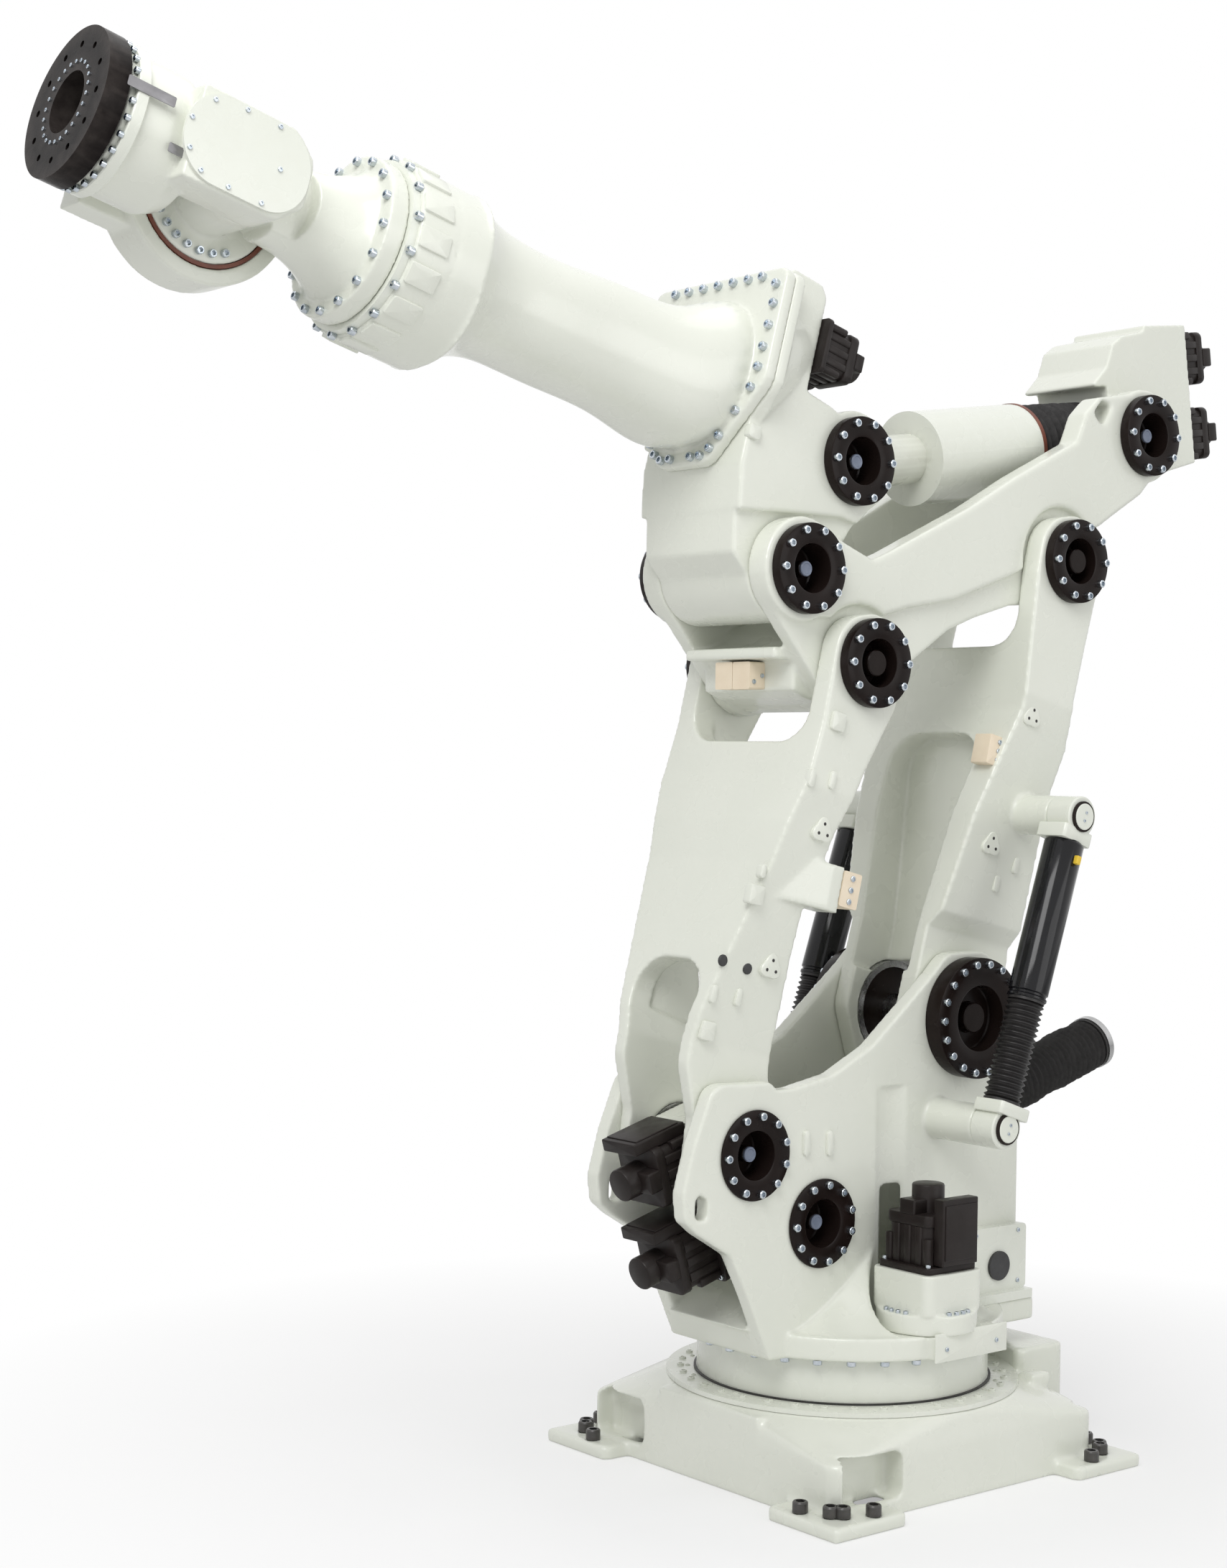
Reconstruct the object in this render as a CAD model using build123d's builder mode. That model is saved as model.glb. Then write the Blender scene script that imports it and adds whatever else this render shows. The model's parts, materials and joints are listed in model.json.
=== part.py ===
from build123d import *
import os
from math import atan2, cos, degrees, hypot, pi, radians, sin

os.makedirs("parts", exist_ok=True)

# Heavy-payload robot with a parallel link lower arm and two ball screw drives.
# Millimetres. +X is the robot's front, +Y its left, +Z up. The origin is the base centre on the floor.

# Pivots seen from the side, as (x, z)
front_pivot = (572, 992)
rear_pivot = (-301, 1341)
link_length = 1450
link_lean = 13.4
elbow_from_link_top = (228.5, 262)
drive3_from_link_top = (-1274, 782)
rod_crank = 415
rod_crank_angle = 127
drive2_pivot = (305, 771)
nut2_crank = 378
nut2_crank_angle = 253.8
balancer_low = (-179, 1040)
balancer_high_on_link = (-46, 649)
arm_tilt = 15
arm_reach = 1892
arm_offset = 394

# Half widths across the robot
turret_half = 217
turret_wall = 52
link_low_wall = 46
rear_low_wall = 63
link_top_half = 320
link_top_wall = 71
beam_half = 275
beam_wall = 80
beam_lug_half = 248
elbow_half = 218
fork_half = 101
balancer_half = 450
side_gap = 1
open_gap = 0.5
run = 0.05
seat = 0.3

# Flanged pivot pins and their bearings
pin_flange_r = 130
pin_r = 95
pin_bore_r = 70
pin_bore_depth = 90
pin_floor = 12
bearing_r = 112
big_flange_r = 184.5
big_pin_r = 130
big_bearing_r = 150
low_flange = 10
top_flange = 33.5
beam_flange = 34
elbow_flange = 35
big_flange = 58
pin_bolt_circle = 112
pin_bolt_count = 10
low_bolt_count = 11
big_bolt_circle = 166
big_bolt_count = 18
m16_head_r = 12
m16_head = 14
m16_socket = 14
hex_depth = 8

# Base
foot_pitch = 530
foot_half = 112
foot_plate = 40
foot_corner = 62
anchor_pitch = 142
anchor_cut = 72
anchor_hole_r = 16.5
anchor_head_r = 22.5
anchor_head = 30
anchor_socket = 22
base_half = 548
base_side_z = 165
base_wall = 28
base_top_z = 248
ring_r = 535
ring_z = 262
ring_bolt_circle = 492
ring_bolt_count = 36
drum_r = 443
drum_z = 270
bore_r = 210
cable_box = (-base_half - 102, -base_half + 108, 320)
cable_box_half = 330
window_low = 52
window_high = 150

# Turret
flange_r = 487
flange_z = 393
deck_z = 462
skirt_r = 462
skirt_top_r = 232
skirt_z = 690
pedestal = (20, 372)
pedestal_r = 148
pedestal_z = 520
pedestal_half = 118
motor1_z = 637
turret_rear_x = -545
rear_wall_z = 870

# Servo motor, along its shaft from the mounting face
motor_flange_half = 103
motor_flange = 22
motor_half = 88
motor_body = 165
motor_box = (52, 40, 130)
encoder_r = 44
encoder = 62

# Drives
drive_half = 110
motor2_offsets = (20, 290)
motor2_face = 276
motor3_offsets = (0, 255)
motor3_face = 408
screw_r = 35
nut_bore_r = 45
nut_r = 88
nut_half = 105
tail_end = 1521
tail_ring = 22
tail_r = 88
bellows_r = 130

# Arm and wrist
elbow_to_flange = 271
arm_flange_at = elbow_to_flange - arm_reach
arm_flange = 38
arm_flange_half = 290
arm_flange_top = 405
arm_flange_low = -172
bell_face_at = -414
bell_r = 248
roll_face_at = -390
roll_flange_r = 222
roll_flange = 56
bend_r = 186
bend_face = -104
seal_r = 197
drum_ring_r = 240
bend_depth = 150
arm_side = 205
arm_side_low = 66
cover_half = 112
cover = 9
cover_tail = 95
cover_nose = 318
hand_r = 178
hand_start = 170
hand_end = 398
tool_r = 195
tool_flange_t = 60
tool_bore_r = 80
tool_pcd = 300
tool_holes = 12
tool_hole_r = 8.75

# Smaller sizes
corner_r = 60
panel_half = 220
panel_z = 240
window_at = 394
window_width = 212
window_corner = 30
anchor_shank_r = 15
dowel_from_pitch = 35
dowel_r = 10
race_r = 400
race_wall = 30
drum_wall = 35
ring_head_r = 14
ring_head = 12
panel_plate = 8
connector = (90, 120, 50)
connector_pitch = 180
skirt_curve = 420
rear_deck_half = 260
rear_box_half = 217
rear_box_shift = 0
rear_box_z = 690
deck_floor = 18
pedestal_cut_r = 168
rear_wall = 45
front_reach = 900
drum_bolt_circle = 466
drum_bolt_count = 30
drum_head_r = 14
drum_head = 14
motor_corner = 16
box_front = -280
box_mid = 490
box_top = 690
box_deep = 284
box_shallow = 255
washer = 12
washer_r = 55

# Pieces of the links, the beam and the drives
big_bore_r = 100
eye_r = 150
link_low_r = 185
rear_low_r = 200
link_reach = 500
window_top = 510
window_r = 100
inner_at_window = 157
web_top = 1180
web_plate = 60
web_front = [(510, 228), (1180, 132)]
hollow_low = 148
hollow_high = 238
crank_end_r = 80
rear_step_half = 210
rear_web_low = 150
rear_web_top = 1150
rear_recess_at = 40
recess_low = 120
recess_high = 190
boss_foot = 215
cross_shaft_r = 47.5
bracket_low = 722
bracket_length = 136
bracket_section = [(145, 255), (-18, 300), (-66, 300), (-66, 190), (40, 190)]
block_inner = 195
block_outer = 300
block_centre = (798, 102 + seat)
block_size = (104, 72)
plug_at = (-417, 570)
plug_r = 45
plug_height = 9
beam_relief_r = 172
cross_tube_r = 140
beam_floor = [(-900, 2935), (-820, 2870), (-640, 2770), (-437, 2640), (-420, 2665), (-620, 2800), (-880, 2960)]
shell_r = 222
shell_wall = 34
shell_from = 205
shell_to = 280
beam_pin_end = 115
beam_nose = [(236, 2266), (380, 2300), (430, 2322), (430, 2420), (380, 2440), (236, 2500)]
beam_block_at = 38
beam_block_z = 2364
beam_block = (74, 80, 60)
screw2_front = 131
nut_stub_r = 50
bellows_wall = 22
drive3_half = 150
drive3_front = 20
drive3_trunnion_r = 140
screw3_end = 1030
rod3_back = 335
rod3_step = 817
rod3_r = 147
rod3_neck_r = 78
rod3_bore_r = 60
rod3_eye_r = 110
rod3_pin_bore_r = 60
band = 14

# Balancers
balancer_eye = 90
balancer_boss_r = 62
balancer_pin_r = 32
balancer_eye_r = 62
balancer_rod_r = 22
balancer_rod = 700
boot_start = 75
boot_r = 57
boot_wall = 9
tube_start = 395
tube_r = 60.5
tube_bore_r = 52
tube_end = 15
tube_neck_r = 42

# Arm and wrist, smaller sizes
fork_top = 546
elbow_to_motors = 81
wrist_motor_at = elbow_to_motors - arm_reach
elbow_back_at = wrist_motor_at + 11
wrist_motor_up = 262
wrist_motor_pitch = 168
section_points = 24
section_power = 2.4
arm_tube_from = arm_flange_at + arm_flange
arm_sections = [
    (arm_tube_from, 216, 322, -110),
    (arm_tube_from + 43, 222, 314, -132),
    (arm_tube_from + 163, 205, 250, -140),
    (arm_tube_from + 283, 177, 226, -128),
    (0.4 * (arm_tube_from + 283) - 0.6 * 800, 166, 200, -132),
    (-800, 171, 197, -145),
    (-700, 201, 211, -191),
    (-640, 246, 246, -246),
]
arm_bolt_places = [
    (255, 100),
    (258, 160),
    (262, 290),
    (255, 350),
    (190, 380),
    (130, 380),
    (243, 40),
    (150, -95),
    (120, -130),
    (85, -150),
    (45, -150),
]
arm_bore_r = 100
bell_groove_at = -540
bell_groove = 8
roll_ring_r = 235
roll_spigot = 60
roll_sections = [(-335, 176, 176, -176), (-290, 146, 146, -146), (-240, 125, 125, -125), (-100, 104, 112, -112)]
roll_clear_r = 192
roll_boss_r = 115
near_arm_low = 66
near_spigot = 84
near_spigot_r = 60
bend_disc = 30
far_spigot = 60
far_spigot_r = 100
roll_bolt_circle = 206
roll_bolt_count = 16
bend_bolt_circle = 160
bend_bolt_count = 19
bend_bolt_r = 10
bend_bolt_turn = 120
drum_edge = 20
hand_taper = 24
hand_relief_r = 204
cover_corner = 105
tool_spigot_r = 140
tool_spigot = 30
tool_gap = 10
tool_hole_depth = 30

# Steps of a servo motor from its mounting face: start, end and half width
motor_steps = [(0, motor_flange, motor_flange_half), (motor_flange, motor_flange + motor_body, motor_half)]
motor_steps.append((motor_flange + motor_body, motor_flange + motor_body + encoder, encoder_r))
wrist_motor_steps = [(0, 18, 82), (18, 150, 74), (150, 196, 40)]

link_rounding = [60, 40, 40, 60, 60, 60, 80, 40, 60, 60, 120, 100, 120, 60, 80, 60, 60, 60, 80, 60, 60, 80]
rear_rounding = [60, 60, 90, 60, 60, 60, 60, 120, 100, 120, 60, 60, 60, 40, 40, 60, 80, 60, 60, 60]


def side_plane(y):
    """Plane at this distance to the robot's left, seen from that side, with X and Z as its axes."""
    return Plane(origin=(0, y, 0), x_dir=(1, 0, 0), z_dir=(0, -1, 0))


def turned_plane(point, angle, y=0):
    """Side plane with its origin on a pivot and its own x axis turned up by the angle."""
    direction = (cos(radians(angle)), 0, sin(radians(angle)))
    return Plane(origin=(point[0], y, point[1]), x_dir=direction, z_dir=(0, -1, 0))


def cross_plane(point, angle, along):
    """Plane square to an axis that rises by the angle, at a distance along it. Its x axis is the robot's left."""
    direction = (cos(radians(angle)), 0, sin(radians(angle)))
    origin = (point[0] + along * direction[0], 0, point[1] + along * direction[2])
    return Plane(origin=origin, x_dir=(0, 1, 0), z_dir=direction)


def moved(point, angle, along, across=0):
    """Point at a distance along, and across, a direction that rises by the angle."""
    c, s = cos(radians(angle)), sin(radians(angle))
    return (point[0] + along * c - across * s, point[1] + along * s + across * c)


def pin_steps(face, flange, end):
    """Steps of a flanged hollow pin, from its outer face inward: start, end, radius and kind."""
    floor = face + flange - pin_bore_depth
    return [
        (face + flange, face, pin_flange_r, Mode.ADD),
        (face, end, pin_r, Mode.ADD),
        (face + flange, max(floor, end + pin_floor), pin_bore_r, Mode.SUBTRACT),
    ]


# Pivots that follow from the sizes above
link_up = 90 + link_lean
front_top = moved(front_pivot, link_up, link_length)
rear_top = moved(rear_pivot, link_up, link_length)
elbow_pivot = (front_top[0] + elbow_from_link_top[0], front_top[1] + elbow_from_link_top[1])
drive3_pivot = (front_top[0] + drive3_from_link_top[0], front_top[1] + drive3_from_link_top[1])
rod_pivot = moved(elbow_pivot, rod_crank_angle, rod_crank)
wrist = moved(elbow_pivot, arm_tilt, arm_reach, arm_offset)
nut2_pivot = moved(rear_pivot, nut2_crank_angle, nut2_crank)
balancer_high = moved(rear_pivot, link_lean, balancer_high_on_link[0], balancer_high_on_link[1])
screw2_angle = degrees(atan2(drive2_pivot[1] - nut2_pivot[1], drive2_pivot[0] - nut2_pivot[0]))
screw2_length = hypot(drive2_pivot[0] - nut2_pivot[0], drive2_pivot[1] - nut2_pivot[1])
screw3_angle = degrees(atan2(rod_pivot[1] - drive3_pivot[1], rod_pivot[0] - drive3_pivot[0]))
screw3_length = hypot(rod_pivot[0] - drive3_pivot[0], rod_pivot[1] - drive3_pivot[1])
balancer_angle = degrees(atan2(balancer_high[1] - balancer_low[1], balancer_high[0] - balancer_low[0]))
balancer_length = hypot(balancer_high[0] - balancer_low[0], balancer_high[1] - balancer_low[1])

# Widths that follow
turret_inner = turret_half - turret_wall
link_low_half = turret_inner - side_gap
link_low_inner = link_low_half - link_low_wall
rear_low_inner = link_low_half - rear_low_wall
link_top_inner = link_top_half - link_top_wall
beam_inner = beam_half - beam_wall
trunnion_half = beam_inner - side_gap
eye_half = fork_half - open_gap


# Base casting: four feet under a low square body that rises to the bearing ring
foot_out = foot_pitch + foot_half
foot_in = foot_pitch - foot_half
anchor_places = [
    (foot_pitch + anchor_cut, foot_pitch - anchor_pitch / 2),
    (foot_pitch + anchor_cut / 2, foot_pitch + anchor_cut / 6),
    (foot_pitch + anchor_cut / 6, foot_pitch + anchor_cut / 2),
    (foot_pitch - anchor_pitch / 2, foot_pitch + anchor_cut),
]
dowel_place = (foot_pitch + dowel_from_pitch, foot_pitch - dowel_from_pitch)
foot_shape = [
    (foot_in - foot_corner, foot_in - foot_corner),
    (foot_out, foot_in - foot_corner),
    (foot_out, foot_out - foot_corner),
    (foot_out - foot_corner, foot_out),
    (foot_in - foot_corner, foot_out),
]

with BuildPart() as base_casting:
    with BuildSketch():
        RectangleRounded(2 * base_half, 2 * base_half, corner_r)
    extrude(amount=base_side_z)
    with BuildSketch(Plane.XY.offset(base_side_z)):
        RectangleRounded(2 * base_half, 2 * base_half, corner_r)
    with BuildSketch(Plane.XY.offset(base_top_z)):
        RectangleRounded(2 * ring_r, 2 * ring_r, ring_r - run)
    loft()
    with BuildSketch():
        with Locations((base_half / 2, 0), (-base_half / 2, 0)):
            Rectangle(base_half, 2 * panel_half)
    extrude(amount=panel_z)
    with BuildSketch():
        with Locations(((cable_box[0] + cable_box[1]) / 2, 0)):
            RectangleRounded(cable_box[1] - cable_box[0], 2 * cable_box_half, corner_r / 2)
    extrude(amount=cable_box[2])
    with BuildSketch():
        with BuildLine():
            FilletPolyline(*foot_shape, radius=corner_r / 2, close=True)
        make_face()
        mirror(about=Plane.XZ)
        mirror(about=Plane.YZ)
    extrude(amount=foot_plate)
    with BuildSketch(Plane.XY.offset(-side_gap)):
        RectangleRounded(2 * (base_half - base_wall), 2 * (base_half - base_wall), corner_r)
    extrude(amount=base_side_z - base_wall, mode=Mode.SUBTRACT)
    for i, j in ((1, 1), (-1, -1)):
        with BuildSketch():
            with Locations((i * foot_pitch, j * foot_pitch)):
                Rectangle(2 * foot_half, 2 * foot_half)
        extrude(amount=foot_plate)
        with BuildSketch():
            with Locations((i * foot_pitch, -j * foot_pitch)):
                Rectangle(2 * foot_half, 2 * foot_half)
        extrude(amount=foot_plate)
    window_mid = (window_low + window_high) / 2
    for turn in range(4):
        face_plane = Plane(
            origin=(base_half * cos(radians(90 * turn)), base_half * sin(radians(90 * turn)), window_mid),
            x_dir=(-sin(radians(90 * turn)), cos(radians(90 * turn)), 0),
            z_dir=(cos(radians(90 * turn)), sin(radians(90 * turn)), 0),
        )
        with BuildSketch(face_plane.offset(side_gap)):
            with Locations((-window_at, 0)):
                RectangleRounded(window_width, window_high - window_low, window_corner)
        extrude(amount=-(base_wall + 3 * side_gap), mode=Mode.SUBTRACT)
    with BuildSketch(Plane.XY.offset(-side_gap)):
        Circle(bore_r)
    extrude(amount=cable_box[2] + 2 * side_gap, mode=Mode.SUBTRACT)
    with BuildSketch(Plane.XY.offset(base_top_z)):
        Circle(ring_r + side_gap)
    extrude(amount=cable_box[2], mode=Mode.SUBTRACT)
    with BuildSketch():
        with Locations(*anchor_places):
            Circle(anchor_hole_r)
        with Locations(dowel_place):
            Circle(dowel_r)
        mirror(about=Plane.XZ)
        mirror(about=Plane.YZ)
    extrude(amount=foot_plate, mode=Mode.SUBTRACT)
base_casting.part.label = "base_casting"
export_step(base_casting.part, "parts/base_casting.step")

with BuildPart() as anchor_bolts:
    with BuildSketch(Plane.XY.offset(foot_plate)):
        with Locations(*anchor_places):
            Circle(anchor_head_r)
        mirror(about=Plane.XZ)
        mirror(about=Plane.YZ)
    extrude(amount=anchor_head)
    with BuildSketch(Plane.XY.offset(foot_plate + anchor_head)):
        with Locations(*anchor_places):
            RegularPolygon(anchor_socket / 2, 6)
        mirror(about=Plane.XZ)
        mirror(about=Plane.YZ)
    extrude(amount=-2 * hex_depth, mode=Mode.SUBTRACT)
    with BuildSketch(Plane.XY):
        with Locations(*anchor_places):
            Circle(anchor_shank_r)
        mirror(about=Plane.XZ)
        mirror(about=Plane.YZ)
    extrude(amount=foot_plate)
anchor_bolts.part.label = "anchor_bolts"
export_step(anchor_bolts.part, "parts/anchor_bolts.step")

with BuildPart() as bearing_outer_ring:
    with BuildSketch(Plane.XY.offset(base_top_z)):
        Circle(ring_r)
        Circle(drum_r + side_gap, mode=Mode.SUBTRACT)
    extrude(amount=ring_z - base_top_z)
    with BuildSketch(Plane.XY.offset(base_top_z)):
        Circle(drum_r + side_gap)
        Circle(race_r + seat, mode=Mode.SUBTRACT)
    extrude(amount=drum_z - base_top_z - seat)
bearing_outer_ring.part.label = "bearing_outer_ring"
export_step(bearing_outer_ring.part, "parts/bearing_outer_ring.step")

with BuildPart() as ring_bolts:
    with BuildSketch(Plane.XY.offset(ring_z)):
        with PolarLocations(ring_bolt_circle, ring_bolt_count):
            Circle(ring_head_r)
    extrude(amount=ring_head)
ring_bolts.part.label = "ring_bolts"
export_step(ring_bolts.part, "parts/ring_bolts.step")

with BuildPart() as cable_panel:
    with BuildSketch(Plane.YZ.offset(cable_box[0])):
        with Locations((0, cable_box[2] / 2 + foot_plate / 2)):
            RectangleRounded(2 * cable_box_half - 80, cable_box[2] - foot_plate - 60, corner_r / 2)
    extrude(amount=-panel_plate)
    with BuildSketch(Plane.YZ.offset(cable_box[0] - panel_plate)):
        with Locations((-connector_pitch, cable_box[2] / 2), (0, cable_box[2] / 2), (connector_pitch, cable_box[2] / 2)):
            Rectangle(connector[0], connector[1])
    extrude(amount=-connector[2])
cable_panel.part.label = "cable_panel"
export_step(cable_panel.part, "parts/cable_panel.step")


# Turret
with BuildPart() as turret_drum:
    with BuildSketch(Plane.XZ):
        with BuildLine():
            Polyline(
                (race_r - race_wall, drum_z),
                (drum_r, drum_z),
                (drum_r, flange_z),
                (drum_r - drum_wall, flange_z),
                (drum_r - drum_wall, drum_z + drum_wall),
                (race_r - race_wall, drum_z + drum_wall),
                close=True,
            )
        make_face()
    revolve(axis=Axis.Z)
    with BuildSketch(Plane.XY.offset(base_top_z + seat)):
        Circle(race_r)
        Circle(race_r - race_wall, mode=Mode.SUBTRACT)
    extrude(amount=drum_z - base_top_z - seat)
turret_drum.part.label = "turret_drum"
export_step(turret_drum.part, "parts/turret_drum.step")

plate_shape = [
    (730, 1202),
    (513, 1197),
    (482, 1171),
    (434, 1171),
    (268, 1201),
    (110, 1275),
    (-149, 1480),
    (-215, 1540),
    (-387, 1540),
    (-508, 1420),
    (-508, 1180),
    (turret_rear_x, 1060),
    (turret_rear_x, flange_z),
    (500, flange_z),
    (590, 590),
    (655, 712),
    (778, 785),
    (829, 826),
    (838, 903),
    (799, 1038),
]
plate_rounding = [60, 30, 20, 20, 60, 120, 40, 90, 90, 90, 60, 60, 10, 10, 60, 40, 20, 30, 30, 60]
lug_hole = [(744, 880), (748, 820), (790, 830), (786, 905)]

with BuildPart() as turret_casting:
    with BuildSketch(side_plane(turret_half)):
        with BuildLine():
            FilletPolyline(*plate_shape, radius=plate_rounding, close=True)
        make_face()
    extrude(amount=2 * turret_half)
    with BuildSketch(Plane.XY.offset(flange_z)):
        Circle(flange_r)
        with Locations((pedestal[0] - 50, pedestal[1] / 2 + 70)):
            RectangleRounded(2 * pedestal_r, pedestal[1] + 2 * 60, 20)
        with Locations((turret_rear_x / 2 - 15, 20)):
            RectangleRounded(-turret_rear_x + 10, 2 * rear_deck_half, 20)
    extrude(amount=deck_z - flange_z)
    with BuildSketch(Plane.XZ):
        with BuildLine():
            skirt_low = Line((0, deck_z), (skirt_r, deck_z))
            RadiusArc((skirt_r, deck_z), (skirt_top_r, skirt_z), skirt_curve)
            Line((skirt_top_r, skirt_z), (0, skirt_z))
            Line((0, skirt_z), (0, deck_z))
        make_face()
    revolve(axis=Axis.Z)
    with BuildSketch(Plane.XY.offset(deck_z)):
        with Locations((turret_rear_x / 2 - 15, rear_box_shift)):
            RectangleRounded(-turret_rear_x - 60, 2 * rear_box_half, 20)
    extrude(amount=rear_box_z - deck_z)
    with BuildSketch(Plane.XY.offset(deck_z)):
        with Locations(pedestal):
            Circle(pedestal_cut_r)
    extrude(amount=skirt_z, mode=Mode.SUBTRACT)
    with BuildSketch(Plane.XY.offset(deck_z)):
        with Locations(((turret_rear_x + box_front) / 2, turret_half + box_deep / 2)):
            Rectangle(box_front - turret_rear_x + 2 * side_gap, box_deep)
    extrude(amount=skirt_z, mode=Mode.SUBTRACT)
    with BuildSketch(Plane.XY.offset(deck_z + deck_floor)):
        with Locations(((turret_rear_x + rear_wall + front_reach) / 2, 0)):
            Rectangle(front_reach - turret_rear_x - rear_wall, 2 * turret_inner)
    extrude(amount=rear_pivot[1], mode=Mode.SUBTRACT)
    with BuildSketch(Plane.XY.offset(rear_wall_z)):
        with Locations((turret_rear_x, 0)):
            Rectangle(4 * rear_wall, 2 * turret_inner)
    extrude(amount=rear_pivot[1], mode=Mode.SUBTRACT)
    with BuildSketch(Plane.XY.offset(flange_z)):
        Circle(bore_r)
    extrude(amount=deck_z, mode=Mode.SUBTRACT)
    with BuildSketch(side_plane(turret_half)):
        with Locations(front_pivot, drive2_pivot):
            Circle(pin_r + run)
        with Locations(rear_pivot):
            Circle(big_pin_r + run)
        with BuildLine():
            FilletPolyline(*lug_hole, radius=15, close=True)
        make_face()
    extrude(amount=2 * turret_half, mode=Mode.SUBTRACT)
    with BuildSketch(side_plane(balancer_half - balancer_eye / 2 - seat)):
        with Locations(balancer_low):
            Circle(balancer_boss_r)
    extrude(amount=balancer_half - balancer_eye / 2 - seat - turret_half + turret_wall / 2)
    with BuildSketch(side_plane(-turret_half + turret_wall / 2)):
        with Locations(balancer_low):
            Circle(balancer_boss_r)
    extrude(amount=balancer_half - balancer_eye / 2 - seat - turret_half + turret_wall / 2)
turret_casting.part.label = "turret_casting"
export_step(turret_casting.part, "parts/turret_casting.step")

with BuildPart() as drum_bolts:
    with BuildSketch(Plane.XY.offset(flange_z)):
        with PolarLocations(drum_bolt_circle, drum_bolt_count, start_angle=11):
            Circle(drum_head_r)
    extrude(amount=-drum_head)
drum_bolts.part.label = "drum_bolts"
export_step(drum_bolts.part, "parts/drum_bolts.step")

# Axis 1 drive on the near side of the turret, and the junction box behind it
with BuildPart() as jt1_housing:
    with BuildSketch(Plane.XY.offset(deck_z)):
        with Locations(pedestal):
            Circle(pedestal_r)
    extrude(amount=pedestal_z - deck_z)
    with BuildSketch(Plane.XY.offset(pedestal_z)):
        with Locations(pedestal):
            RectangleRounded(2 * pedestal_half, 2 * pedestal_half, corner_r / 2)
    extrude(amount=motor1_z - pedestal_z)
jt1_housing.part.label = "jt1_housing"
export_step(jt1_housing.part, "parts/jt1_housing.step")

with BuildPart() as jt1_motor:
    for low, high, half in motor_steps:
        with BuildSketch(Plane.XY.offset(motor1_z + low)):
            with Locations(pedestal):
                RectangleRounded(2 * half, 2 * half, motor_corner)
        extrude(amount=high - low)
    with BuildSketch(Plane.XY.offset(motor1_z + motor_body - motor_box[2])):
        with Locations((pedestal[0], pedestal[1] + motor_half + motor_box[0] / 2)):
            Rectangle(2 * motor_box[1], motor_box[0])
    extrude(amount=motor_box[2])
jt1_motor.part.label = "jt1_motor"
export_step(jt1_motor.part, "parts/jt1_motor.step")

with BuildPart() as junction_box:
    with BuildSketch(side_plane(box_deep)):
        with Locations(((turret_rear_x + box_front) / 2, (deck_z + seat + box_mid) / 2)):
            Rectangle(box_front - turret_rear_x, box_mid - deck_z - seat)
    extrude(amount=box_deep - turret_half)
    with BuildSketch(side_plane(box_shallow)):
        with Locations(((turret_rear_x + box_front) / 2, (box_mid + box_top) / 2)):
            RectangleRounded(box_front - turret_rear_x, box_top - box_mid, corner_r / 4)
    extrude(amount=box_shallow - turret_half)
junction_box.part.label = "junction_box"
export_step(junction_box.part, "parts/junction_box.step")

with BuildPart() as box_plug:
    with BuildSketch(side_plane(box_shallow + seat + plug_height)):
        with Locations(plug_at):
            Circle(plug_r)
    extrude(amount=plug_height)
box_plug.part.label = "box_plug"
export_step(box_plug.part, "parts/box_plug.step")

# Pins on the turret
with BuildPart() as turret_pins:
    for start, end, radius, kind in pin_steps(turret_half, low_flange, link_low_inner):
        with BuildSketch(side_plane(start)):
            with Locations(front_pivot, drive2_pivot):
                Circle(radius)
        extrude(amount=start - end, mode=kind)
    mirror(about=Plane.XZ)
turret_pins.part.label = "turret_pins"
export_step(turret_pins.part, "parts/turret_pins.step")

with BuildPart() as rear_low_pins:
    for start, end, radius, kind in (
        (turret_half + big_flange, turret_half, big_flange_r, Mode.ADD),
        (turret_half, rear_low_inner, big_pin_r, Mode.ADD),
        (turret_half + big_flange, turret_half + big_flange - pin_bore_depth, big_bore_r, Mode.SUBTRACT),
    ):
        with BuildSketch(side_plane(start)):
            with Locations(rear_pivot):
                Circle(radius)
        extrude(amount=start - end, mode=kind)
    mirror(about=Plane.XZ)
rear_low_pins.part.label = "rear_low_pins"
export_step(rear_low_pins.part, "parts/rear_low_pins.step")

with BuildPart() as turret_pin_bolts:
    for place, face, circle, count in (
        (front_pivot, turret_half + low_flange, pin_bolt_circle, low_bolt_count),
        (drive2_pivot, turret_half + low_flange, pin_bolt_circle, low_bolt_count),
        (rear_pivot, turret_half + big_flange, big_bolt_circle, big_bolt_count),
    ):
        with BuildSketch(side_plane(face + m16_head)):
            with Locations(place):
                with PolarLocations(circle, count):
                    Circle(m16_head_r)
        extrude(amount=m16_head)
        with BuildSketch(side_plane(face + m16_head)):
            with Locations(place):
                with PolarLocations(circle, count):
                    RegularPolygon(m16_socket / 2, 6)
        extrude(amount=hex_depth, mode=Mode.SUBTRACT)
    mirror(about=Plane.XZ)
turret_pin_bolts.part.label = "turret_pin_bolts"
export_step(turret_pin_bolts.part, "parts/turret_pin_bolts.step")

with BuildPart() as balancer_low_pins:
    with BuildSketch(side_plane(balancer_half + balancer_eye / 2 + seat)):
        with Locations(balancer_low):
            Circle(balancer_pin_r)
    extrude(amount=balancer_eye + 2 * seat)
    with BuildSketch(side_plane(balancer_half + balancer_eye / 2 + seat + washer)):
        with Locations(balancer_low):
            Circle(washer_r)
    extrude(amount=washer)
    mirror(about=Plane.XZ)
balancer_low_pins.part.label = "balancer_low_pins"
export_step(balancer_low_pins.part, "parts/balancer_low_pins.step")


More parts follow.
